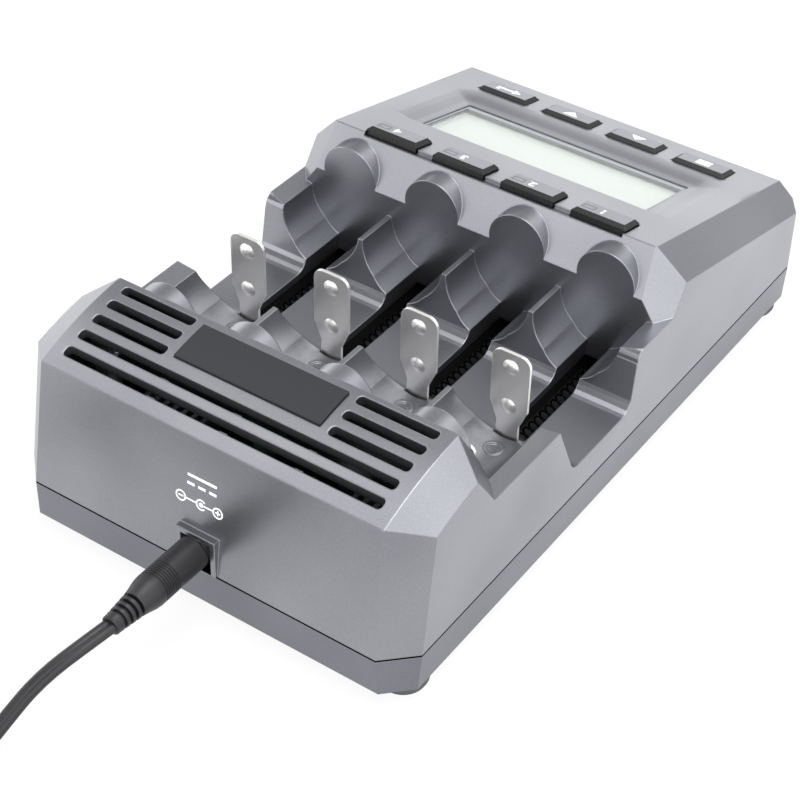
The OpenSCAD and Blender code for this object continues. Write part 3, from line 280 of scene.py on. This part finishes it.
def moulded_plastic(name, dark, light, roughness, grain_mm=0.4, depth_mm=0.01, edge_mm=0.2):
    # Injection-moulded plastic from a spark-eroded mould: a fine even grain that breaks up the gloss a little,
    # and softly rounded edges.
    material, tree, place = blank_material(name)
    grit = put(tree, "TexNoise", {"Vector": place}, {"Scale": 1 / (grain_mm * MM), "Detail": 2})
    colour = put(tree, "MixRGB", {"Fac": grit.outputs[0]}, {"Color1": linear(dark), "Color2": linear(light)})
    gloss = put(tree, "MapRange", {"Value": grit.outputs[0]},
                {"From Min": 0.3, "From Max": 0.7, "To Min": roughness - 0.05, "To Max": roughness + 0.05})
    edges = put(tree, "Bevel", values={"Radius": edge_mm * MM}, samples=4)
    grain = put(tree, "Bump", {"Height": grit.outputs[0], "Normal": edges.outputs[0]},
                {"Strength": 0.3, "Distance": depth_mm * MM})
    close(tree, put(tree, "BsdfPrincipled",
                    {"Base Color": colour.outputs[0], "Roughness": gloss.outputs[0], "Normal": grain.outputs[0]},
                    {"IOR": 1.5}))
    return material


def worked_metal(name, dark, light, roughness, stretch, edge_mm=0.12):
    # Bare metal with the marks of how it was made: long fine lines along the way it was rolled, drawn or
    # extruded. The lines are about 0.02 mm and are drawn at 0.15 mm so that they show.
    material, tree, place = blank_material(name)
    pulled = put(tree, "Mapping", {"Vector": place}, {"Scale": stretch})
    lines = put(tree, "TexNoise", {"Vector": pulled.outputs[0]}, {"Scale": 1 / (0.15 * MM), "Detail": 3})
    colour = put(tree, "MixRGB", {"Fac": lines.outputs[0]}, {"Color1": linear(dark), "Color2": linear(light)})
    gloss = put(tree, "MapRange", {"Value": lines.outputs[0]},
                {"From Min": 0.3, "From Max": 0.7, "To Min": roughness - 0.05, "To Max": roughness + 0.07})
    edges = put(tree, "Bevel", values={"Radius": edge_mm * MM}, samples=4)
    grain = put(tree, "Bump", {"Height": lines.outputs[0], "Normal": edges.outputs[0]},
                {"Strength": 0.1, "Distance": 0.01 * MM})
    close(tree, put(tree, "BsdfPrincipled",
                    {"Base Color": colour.outputs[0], "Roughness": gloss.outputs[0], "Normal": grain.outputs[0]},
                    {"Metallic": 1.0}))
    return material


def clear_acrylic(name):
    # Clear cast acrylic pane, polished: it shows the display behind it and a soft sheen of the room on top.
    material, tree, place = blank_material(name)
    smear = put(tree, "TexNoise", {"Vector": place}, {"Scale": 1 / (12 * MM), "Detail": 1})
    gloss = put(tree, "MapRange", {"Value": smear.outputs[0]}, {"To Min": 0.05, "To Max": 0.12})
    close(tree, put(tree, "BsdfPrincipled", {"Roughness": gloss.outputs[0]},
                    {"Base Color": linear("#F2F6F2"), "IOR": 1.49, "Alpha": 0.12}))
    return material


def display_film(name):
    # Reflective film of a monochrome display that is switched off: pale grey-green, silky, with a very faint
    # line pattern. The real lines are 0.25 mm apart and are drawn at 0.5 mm.
    material, tree, place = blank_material(name)
    lines = put(tree, "TexWave", {"Vector": place}, {"Scale": 1 / (20 * 0.5 * MM)}, bands_direction="X")
    cloud = put(tree, "TexNoise", {"Vector": place}, {"Scale": 1 / (25 * MM), "Detail": 1})
    share = put(tree, "Math", {0: lines.outputs["Fac"], 1: cloud.outputs[0]}, operation="MULTIPLY")
    colour = put(tree, "MixRGB", {"Fac": share.outputs[0]},
                 {"Color1": linear("#B4B9B5"), "Color2": linear("#B8BDB9")})
    close(tree, put(tree, "BsdfPrincipled", {"Base Color": colour.outputs[0]}, {"Roughness": 0.45, "IOR": 1.5}))
    return material


def solder_mask(name):
    # Green solder mask over copper: glossy lacquer with paler tracks under it, about 1 mm wide.
    material, tree, place = blank_material(name)
    tracks = put(tree, "TexBrick", {"Vector": place},
                 {"Scale": 1 / (6 * MM), "Mortar Size": 0.08, "Color1": linear("#0C3D26"), "Color2": linear("#0E452B"),
                  "Mortar": linear("#1B6A44")})
    speck = put(tree, "TexNoise", {"Vector": place}, {"Scale": 1 / (0.5 * MM)})
    grain = put(tree, "Bump", {"Height": speck.outputs[0]}, {"Strength": 0.2, "Distance": 0.01 * MM})
    close(tree, put(tree, "BsdfPrincipled", {"Base Color": tracks.outputs["Color"], "Normal": grain.outputs[0]},
                    {"Roughness": 0.3, "IOR": 1.5}))
    return material


lacquer = metallic_lacquer("silver_lacquer_on_abs", "#88898F", "#9A9BA0", 0.94, 0.32)
# The base shell: the same lacquer in darker colours, painted shade for the low shell that gets less light
base_lacquer_shaded = metallic_lacquer("silver_lacquer_on_abs_base_shaded", "#72737A", "#818289", 0.94, 0.36)
key_abs = moulded_plastic("satin_black_abs_keys", "#08090A", "#0D0E10", 0.3, 0.5, 0.002, 0.18)
key_film = moulded_plastic("smoke_grey_key_lacquer", "#6D6F76", "#73757C", 0.32, 0.6, 0.001, 0.02)
black_abs = moulded_plastic("black_nylon_moulded", "#101113", "#18191B", 0.5)
plate_abs = moulded_plastic("matt_blue_black_plate", "#14161B", "#1A1D23", 0.55, 0.3, 0.006, 0.15)
component_resin = moulded_plastic("component_epoxy_moulded", "#161618", "#222226", 0.55)
feet_rubber = moulded_plastic("rubber_moulded", "#454649", "#505154", 0.8, 0.5, 0.03, 0.3)
lead_vinyl = moulded_plastic("soft_black_vinyl_extruded", "#151518", "#1E1E21", 0.45, 0.5, 0.012, 0.12)
white_styrene = moulded_plastic("white_styrene_frame", "#C9CDD0", "#D6DADC", 0.5)
print_white = moulded_plastic("white_pad_print", "#F0F1F3", "#F7F8F9", 0.55, 0.3, 0.002, 0.02)
print_grey = moulded_plastic("grey_pad_print", "#50535A", "#5E6168", 0.5, 0.3, 0.002, 0.02)
border_print = moulded_plastic("pale_grey_screen_print", "#8E9398", "#969BA0", 0.5, 0.4, 0.002, 0.02)
nickel = worked_metal("nickel_plated_steel_rolled", "#F1F0ED", "#F7F6F4", 0.38, (1, 1, 0.06), 0.25)
zinc = worked_metal("zinc_plated_steel_drawn", "#9C9EA3", "#B0B2B6", 0.34, (0.2, 0.2, 1))
# Near-black spring wire: painted shade, so that the springs sink into the dark of their slots
spring_wire_shaded = worked_metal("dark_spring_wire_painted_shade", "#0A0A0B", "#101011", 0.6, (1, 1, 1))
aluminium = worked_metal("aluminium_extruded", "#B2B4B8", "#C6C8CB", 0.36, (1, 0.05, 1))
acrylic = clear_acrylic("clear_acrylic_cast")
film = display_film("display_film_reflective")
mask = solder_mask("solder_mask_on_board")

FINISHES = {
    "shell_paint": lacquer, "shell_paint_base": base_lacquer_shaded, "rubber": feet_rubber, "steel": zinc,
    "black_plate": plate_abs, "clear_window": acrylic, "display": film, "white_plastic": white_styrene,
    "board": mask, "dark_plastic": black_abs, "components": component_resin, "aluminium": aluminium,
    "lead_vinyl": lead_vinyl, "nickel": nickel, "key_plastic": key_abs,
}
for subpart in frame["record"]["subparts"]:
    for slot in nodes[subpart["node"]].material_slots:
        slot.material = FINISHES[subpart["material_slot"]]


# ---------------------------------------------------------------- twin lead: plug, free run, coil, socket

def lead_route():
    """Middle line of the lead, in metres, from the plug's relief to the socket."""
    low, high = CORD_T / 2 + 0.01, 1.5 * CORD_T + 0.02
    run = eased([(x * MM, y * MM, z * MM) for x, y, z in [
        (0, CORD_Y0, JACK_Z), (0.5, 126, 19.5), (1.7, 131, 18.6), (3.6, 136.4, 16.6), (5.6, 141.4, 13.4),
        (7.4, 146.2, 9.2), (8.8, 150.8, 5.4), (9.8, 155.2, 2.5), (10.6, 160, 1.4), (11.1, 165, low),
        (11.15, 172, low),
    ]], 2.6 * MM)[:-1]
    run += [Vector((11.15, y, low)) * MM for y in (172, 176)]
    # Radius and height of the winding over the angle turned, clockwise from its leftmost point: three turns
    # inwards on the table, a climb, and three turns outwards on top of them
    outer = 27.85
    knots = [(0, outer, low)]
    for k in range(3):
        knots += [(360 * k + 300, outer - CORD_W * k, low), (360 * k + 360, outer - CORD_W * (k + 1), low)]
    knots += [(1318, 16.15, low), (1362, 16.2, 3.4), (1386, 18.1, high), (1740, 18.1, high), (1800, 22, high),
              (2100, 22, high), (2160, 25.9, high), (2280, 25.9, high), (2340, 31.9, 3.5)]
    for turn in range(0, knots[-1][0] + 1, 12):
        k = max(i for i in range(len(knots)) if knots[i][0] <= turn)
        a, b = knots[k], knots[min(k + 1, len(knots) - 1)]
        t = 0 if b[0] == a[0] else (turn - a[0]) / (b[0] - a[0])
        t = (1 - math.cos(math.pi * t)) / 2
        r, z = a[1] + (b[1] - a[1]) * t, a[2] + (b[2] - a[2]) * t
        angle = math.radians(180 - turn)
        run.append(Vector((COIL_CENTRE[0] + r * math.cos(angle), COIL_CENTRE[1] + r * math.sin(angle), z)) * MM)
    run += [Vector(p) * MM for p in [(71, 176, 3.55), (71.35, 172, 3.8), (71.6, 168, 4), (71.7, 164, 4)]]
    return run


def twin_section(width, thick, count=9):
    """Outline of two round strands side by side with a groove between them, in metres."""
    r = thick / 2
    c = width / 2 - r
    start = math.acos(min(1, c / r)) * 0.85
    half = [(c + r * math.cos(a), r * math.sin(a)) for a in
            [-(math.pi - start) + 2 * (math.pi - start) * k / (count - 1) for k in range(count)]]
    return [(x * MM, y * MM) for x, y in half + [(-x, -y) for x, y in half]]


route = lead_route()
lead = swept("twin_lead", route, twin_section(CORD_W, CORD_T))
smooth(lead, 50)
fit_out(lead, "case", lead_vinyl)
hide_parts("supply_cord", "cord_coil", "cord_tail")


def drawn_up(radius, steps, vertices=48):
    """Turned shape: a disc extruded along Z and resized step by step, steps as (rise, radius) in mm."""
    bpy.ops.object.select_all(action="DESELECT")
    bpy.ops.mesh.primitive_circle_add(vertices=vertices, radius=radius * MM, fill_type="NGON")
    bpy.ops.object.mode_set(mode="EDIT")
    bpy.ops.mesh.select_all(action="SELECT")
    for rise, wide in steps:
        bpy.ops.mesh.extrude_region_move(TRANSFORM_OT_translate={"value": (0, 0, rise * MM)})
        bpy.ops.transform.resize(value=(wide / radius, wide / radius, 1))
        radius = wide
    bpy.ops.mesh.select_all(action="SELECT")
    bpy.ops.mesh.normals_make_consistent(inside=False)
    bpy.ops.object.mode_set(mode="OBJECT")
    return bpy.context.object


def make_plug():
    """Moulded barrel plug: smooth grip, band of fine rings, cone, and a relief with slots between its rings."""
    grip_r, groove_r, core_r = 4.1, 3.84, 1.9
    steps = [(0.5, grip_r), (9, grip_r)]
    for _ in range(7):
        steps += [(0.1, groove_r), (0.3, groove_r), (0.1, grip_r), (0.2, grip_r)]
    steps += [(0.7, grip_r), (1.6, 3.9), (2.2, 3.35), (1.3, 3.1)]
    relief_z = sum(rise for rise, _ in steps)
    r = 3.06
    for _ in range(4):
        steps += [(0.05, r), (0.05, core_r), (0.75, core_r), (0.05, r - 0.03), (0.75, r - 0.13)]
        r -= 0.17
    steps += [(0.9, r), (0.3, r - 0.3)]
    body = drawn_up(3.7, steps)
    # Webs that join the relief's rings on two sides, narrower towards the lead
    bpy.ops.mesh.primitive_cube_add(size=1, location=(0, 0, (relief_z + 3.5) * MM))
    webs = fresh("webs")
    webs.scale = (5.2 * MM, 1.3 * MM, 7.2 * MM)
    settle(webs)
    bpy.ops.object.mode_set(mode="EDIT")
    bpy.ops.mesh.select_mode(type="FACE")
    bpy.ops.mesh.select_all(action="DESELECT")
    bpy.ops.object.mode_set(mode="OBJECT")
    for face in webs.data.polygons:
        face.select = face.normal.z > 0.9
    bpy.ops.object.mode_set(mode="EDIT")
    bpy.ops.transform.resize(value=(0.86, 1, 1))
    bpy.ops.object.mode_set(mode="OBJECT")
    webs.rotation_euler = (0, 0, math.radians(-40))
    settle(webs)
    plug = joined([body, webs], "plug_grip_ringed")
    plug.rotation_euler = (math.radians(-90), 0, 0)
    plug.location = (0, PLUG_Y0 * MM, JACK_Z * MM)
    settle(plug)
    smooth(plug, 30)
    return plug


plug = make_plug()
fit_out(plug, "case", lead_vinyl)
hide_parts("dc_plug_grip")


# ---------------------------------------------------------------- return springs in their channels

def make_spring(x, name):
    """Compression spring of round wire along Y, from the channel's end wall to the slider."""
    per_turn = 14
    count = SPRING_TURNS * per_turn
    points = []
    for k in range(count + 1):
        angle = 2 * math.pi * k / per_turn
        y = SPRING_Y0 + WIRE_R + (SPRING_Y1 - SPRING_Y0 - 2 * WIRE_R) * k / count
        points.append(Vector((x + SPRING_R * math.cos(angle), y, SPRING_Z + SPRING_R * math.sin(angle))) * MM)
    wire = [(WIRE_R * MM * math.cos(a), WIRE_R * MM * math.sin(a)) for a in [math.pi * j / 3 for j in range(6)]]
    spring = swept(name, points, wire, up=(0, 1, 0))
    smooth(spring, 80)
    return spring


for i, x in enumerate(BAY_X, 1):
    spring = make_spring(x, f"coil_spring_{i}")
    fit_out(spring, "case", spring_wire_shaded)
    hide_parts(f"return_spring_{i}")
    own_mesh(spring)


# ---------------------------------------------------------------- printed marks on the keys

def lettered(text, size, name):
    """Printed character as a thin mesh."""
    bpy.ops.object.select_all(action="DESELECT")
    bpy.ops.object.text_add(location=(0, 0, 0))
    mark = bpy.context.object
    mark.data.body = text
    mark.data.size = size * MM
    mark.data.align_x = "CENTER"
    mark.data.align_y = "CENTER"
    mark.data.extrude = INK * MM / 2
    mark.data.offset = 0.02 * size * MM
    mark.data.resolution_u = 4
    bpy.ops.object.convert(target="MESH")
    return fresh(name)


def cut_shape(outline, name):
    """Printed shape as a thin mesh: one flat face with this outline, in mm, extruded by the ink's thickness."""
    mesh = bpy.data.meshes.new(name)
    mesh.from_pydata([(x * MM, y * MM, -INK / 2 * MM) for x, y in outline], [], [tuple(range(len(outline)))])
    mark = bpy.data.objects.new(name, mesh)
    bpy.context.collection.objects.link(mark)
    only(mark)
    bpy.ops.object.mode_set(mode="EDIT")
    bpy.ops.mesh.select_all(action="SELECT")
    bpy.ops.mesh.extrude_region_move(TRANSFORM_OT_translate={"value": (0, 0, INK * MM)})
    bpy.ops.mesh.select_all(action="SELECT")
    bpy.ops.mesh.normals_make_consistent(inside=False)
    bpy.ops.object.mode_set(mode="OBJECT")
    return mark


def framed(wide, high, line):
    """Outline of a rectangular frame, in mm, cut through at one corner by a hair."""
    x, y, hair = wide / 2, high / 2, 0.01
    a, b = x - line, y - line
    outside = [(-x, -y), (x, -y), (x, y), (-x, y), (-x, -y + hair)]
    return outside + [(-a, -b + hair), (-a, b), (a, b), (a, -b), (-a, -b)]


def key_face(key, x, u, height):
    """Grey lacquered face on a key's flat top, a hair inside its bevels."""
    hair = 0.05
    wide, long = KEY_W / 2 - KEY_BEVEL - hair, KEY_L / 2 - KEY_BEVEL - hair
    face = cut_shape([(-wide, -long), (wide, -long), (wide, long), (-wide, long)], f"face_{key}")
    lay(face, on_panel(x, u, height + 0.6 * INK), (1, 0, 0), PANEL_OUT)
    fit_out(face, key, key_film)


# Bay keys: a digit with an empty frame beside it
DIGIT_SIZE, DIGIT_DX, LIGHT_DX = 3.8, 0.6, 4.4
for i, x in enumerate(KEY_X, 1):
    key_face(f"slot_key_{i}", x, SLOT_KEY_U, SLOT_KEY_RISE)
    digit = lettered(str(i), DIGIT_SIZE, f"digit_{i}")
    lay(digit, on_panel(x + DIGIT_DX, SLOT_KEY_U - 0.1, SLOT_KEY_RISE + 2 * INK), (1, 0, 0), PANEL_OUT)
    fit_out(digit, f"slot_key_{i}", print_white)
    light = cut_shape(framed(3.4, 2.2, 0.3), f"key_light_{i}")
    lay(light, on_panel(x + LIGHT_DX, SLOT_KEY_U - 0.3, SLOT_KEY_RISE + 2 * INK), (1, 0, 0), PANEL_OUT)
    fit_out(light, f"slot_key_{i}", print_grey)

# Menu keys: square, triangles and an arrow, as outlines round the key's middle
MENU_MARKS = [
    ("key_stop", -30, [(-2, -1.6), (2, -1.6), (2, 1.6), (-2, 1.6)]),
    ("key_up", -10, [(-2.2, -1.5), (2.2, -1.5), (0, 1.6)]),
    ("key_down", 10, [(2.2, 1.5), (-2.2, 1.5), (0, -1.6)]),
    ("key_enter", 30, [(-3.6, 0), (-1.4, -1.6), (-1.4, -0.5), (3.6, -0.5), (3.6, 1.6), (2.6, 1.6), (2.6, 0.5),
                       (-1.4, 0.5), (-1.4, 1.6)]),
]
for key, x, outline in MENU_MARKS:
    key_face(key, x, MENU_KEY_U, MENU_KEY_RISE)
    mark = cut_shape(outline, f"mark_{key}")
    lay(mark, on_panel(x, MENU_KEY_U, MENU_KEY_RISE + 2 * INK), (1, 0, 0), PANEL_OUT)
    fit_out(mark, key, print_white)


# ---------------------------------------------------------------- pale border printed on the window's face

# Four strips as (x0, x1, u0, u1): the low one, which is the widest, the top one and the two sides
HAIR, SIDE_W, TOP_U, LOW_U = 0.05, 0.7, WINDOW_U0 + 0.5, WINDOW_U1 - 2.3
strips = []
for k, (x0, x1, u0, u1) in enumerate([
    (-WINDOW_X + HAIR, WINDOW_X - HAIR, LOW_U, WINDOW_U1 - 0.25),
    (-WINDOW_X + HAIR, WINDOW_X - HAIR, WINDOW_U0 + HAIR, TOP_U),
    (-WINDOW_X + HAIR, -WINDOW_X + SIDE_W, TOP_U, LOW_U),
    (WINDOW_X - SIDE_W, WINDOW_X - HAIR, TOP_U, LOW_U),
]):
    strips.append(cut_shape([(x0, -u1), (x1, -u1), (x1, -u0), (x0, -u0)], f"strip_{k}"))
border = joined(strips, "display_border")
lay(border, on_panel(0, 0, -WINDOW_DEPTH + 0.6 * INK), (1, 0, 0), PANEL_OUT)
fit_out(border, "case", border_print)


# ---------------------------------------------------------------- polarity and DC signs over the jack

POLARITY_Z, DC_SIGN_Z = 31, 36.4


def ring(radius, wide, name, gap=0):
    """Printed ring: an outline open by gap degrees, or else a circle extruded outwards in its plane."""
    count = 36
    if gap:
        first = math.radians(gap / 2)
        turns = [first + (2 * math.pi - 2 * first) * k / count for k in range(count + 1)]
        outer = [(radius * math.cos(a), radius * math.sin(a)) for a in turns]
        inner = [((radius - wide) * math.cos(a), (radius - wide) * math.sin(a)) for a in reversed(turns)]
        return cut_shape(outer + inner, name)
    bpy.ops.object.select_all(action="DESELECT")
    bpy.ops.mesh.primitive_circle_add(vertices=count, radius=(radius - wide) * MM, fill_type="NOTHING")
    mark = fresh(name)
    bpy.ops.object.mode_set(mode="EDIT")
    bpy.ops.mesh.select_all(action="SELECT")
    bpy.ops.mesh.extrude_edges_move(TRANSFORM_OT_translate={"value": (0, 0, 0)})
    bpy.ops.transform.resize(value=(radius / (radius - wide),) * 3)
    bpy.ops.mesh.select_all(action="SELECT")
    bpy.ops.mesh.extrude_region_move(TRANSFORM_OT_translate={"value": (0, 0, INK * MM)})
    bpy.ops.mesh.select_all(action="SELECT")
    bpy.ops.mesh.normals_make_consistent(inside=False)
    bpy.ops.object.mode_set(mode="OBJECT")
    return mark


def bar(x0, x1, y, wide, name):
    """Printed line along X."""
    return cut_shape([(x0, y - wide / 2), (x1, y - wide / 2), (x1, y + wide / 2), (x0, y + wide / 2)], name)


def shifted(mark, x):
    """Moves a flat mark along X."""
    mark.location = (x * MM, 0, 0)
    settle(mark)
    return mark


def face_at(node, x, z):
    """Point and normal where a line from the supply end meets a node, x and z in mm."""
    _, point, normal, _ = nodes[node].ray_cast(Vector((x, 200, z)) * MM, Vector((0, -1, 0)))
    return point, normal


point, normal = face_at("top_housing", 0, POLARITY_Z)
RING, LINE, DOT = 1.45, 0.4, 0.62
MINUS_X, PLUS_X, ARM = -5.6, 4.6, 0.7
polarity = joined([
    shifted(ring(RING, LINE, "ring_a"), MINUS_X), bar(MINUS_X - ARM, MINUS_X + ARM, 0, LINE, "minus"),
    bar(-4.16, -1.42, 0, LINE, "line_a"), ring(RING, LINE, "open_ring", gap=80),
    cut_shape([(DOT * math.cos(math.pi * k / 8), DOT * math.sin(math.pi * k / 8)) for k in range(16)], "dot"),
    bar(0.6, 3.16, 0, LINE, "line_b"), shifted(ring(RING, LINE, "ring_b"), PLUS_X),
    bar(PLUS_X - ARM, PLUS_X + ARM, 0, LINE, "plus_a"),
    shifted(cut_shape([(-LINE / 2, -ARM), (LINE / 2, -ARM), (LINE / 2, ARM), (-LINE / 2, ARM)], "plus_b"), PLUS_X),
], "polarity_sign")
lay(polarity, point + normal * INK * MM, (-1, 0, 0), normal)
fit_out(polarity, "case", print_white)

point, normal = face_at("top_housing", 0, DC_SIGN_Z)
HALF_GAP, THICK = 1.1, 0.7
dc_sign = joined([
    bar(-4, 4, HALF_GAP, THICK, "solid_line"), bar(-4, -2, -HALF_GAP, THICK, "dash_a"),
    bar(-1, 1, -HALF_GAP, THICK, "dash_b"), bar(2, 4, -HALF_GAP, THICK, "dash_c"),
], "direct_current_sign")
lay(dc_sign, point + normal * INK * MM, (-1, 0, 0), normal)
fit_out(dc_sign, "case", print_white)


# ---------------------------------------------------------------- floor, world and lamps

bpy.ops.object.select_all(action="DESELECT")
bpy.ops.mesh.primitive_plane_add(size=8)
floor = fresh("floor")
material, tree, place = blank_material("pale_floor")
rays = put(tree, "LightPath")
seen = put(tree, "Math", {0: rays.outputs["Is Camera Ray"], 1: rays.outputs["Is Glossy Ray"]}, operation="MAXIMUM")
seen = put(tree, "Math", {0: seen.outputs[0], 1: rays.outputs["Is Transmission Ray"]}, operation="MAXIMUM")
# The camera sees white paper that keeps a tenth of its own shading, so the shadow shows. Mirrored in the lacquer,
# the paper's glow is darker towards the display's side: painted shade in the reflections
PAPER_WHITE, PAPER_SHADED = 0.9, 0.35
glow_shade = put(tree, "MapRange", {"Value": put(tree, "SeparateXYZ", {0: place}).outputs["Y"]},
           {"From Min": -0.02, "From Max": 0.12, "To Min": PAPER_SHADED, "To Max": PAPER_WHITE})
plain = put(tree, "Math", {0: rays.outputs["Is Camera Ray"]}, {1: PAPER_WHITE}, operation="MULTIPLY")
glow_shade = put(tree, "Math", {0: glow_shade.outputs[0], 1: plain.outputs[0]}, operation="MAXIMUM")
share = put(tree, "Math", {0: seen.outputs[0], 1: glow_shade.outputs[0]}, operation="MULTIPLY")
matt = put(tree, "BsdfDiffuse", values={"Color": linear("#F4F4F4")})
white = put(tree, "Emission", values={"Color": (1, 1, 1, 1), "Strength": 1.0})
close(tree, put(tree, "MixShader", {0: share.outputs[0], 1: matt.outputs[0], 2: white.outputs[0]}))
floor.data.materials.append(material)

# White studio tent with dark gaps, which the lacquer mirrors: one high beyond the display, a small one high over
# the coil's side, and one low beyond the display. Each has its direction, the cosines where it starts and is full,
# and the share of light left in it
TENT = 2.05
GAPS = [
    ((0.42, -0.58, 0.69), 0.75, 0.99, 0.25),
    ((0.47, 0.5, 0.73), 0.88, 0.96, 0.1),
    ((-0.45, -0.88, 0.12), 0.7, 0.97, 0.35),
]
world = bpy.data.worlds.new("studio")
bpy.context.scene.world = world
world.use_nodes = True
tree = world.node_tree
tree.nodes.clear()
way = put(tree, "TexCoord").outputs["Generated"]
light = None
for direction, outer, inner, left in GAPS:
    near = put(tree, "VectorMath", {0: way}, {1: Vector(direction).normalized()}, operation="DOT_PRODUCT")
    part = put(tree, "MapRange", {"Value": near.outputs["Value"]},
               {"From Min": outer, "From Max": inner, "To Min": 1.0, "To Max": left}, interpolation_type="SMOOTHSTEP")
    if light is None:
        light = part
    else:
        light = put(tree, "Math", {0: light.outputs[0], 1: part.outputs[0]}, operation="MULTIPLY")
strength = put(tree, "Math", {0: light.outputs[0]}, {1: TENT}, operation="MULTIPLY")
studio = put(tree, "Background", {"Strength": strength.outputs[0]}, {"Color": (1, 1, 1, 1)})
put(tree, "OutputWorld", {"Surface": studio.outputs[0]})

lamp_data = bpy.data.lights.new("ceiling_softbox", "AREA")
lamp_data.shape = "DISK"
lamp_data.size = 0.5
lamp_data.energy = 3
lamp = bpy.data.objects.new("ceiling_softbox", lamp_data)
lamp.location = (-0.1, -0.05, 1.0)
bpy.context.collection.objects.link(lamp)
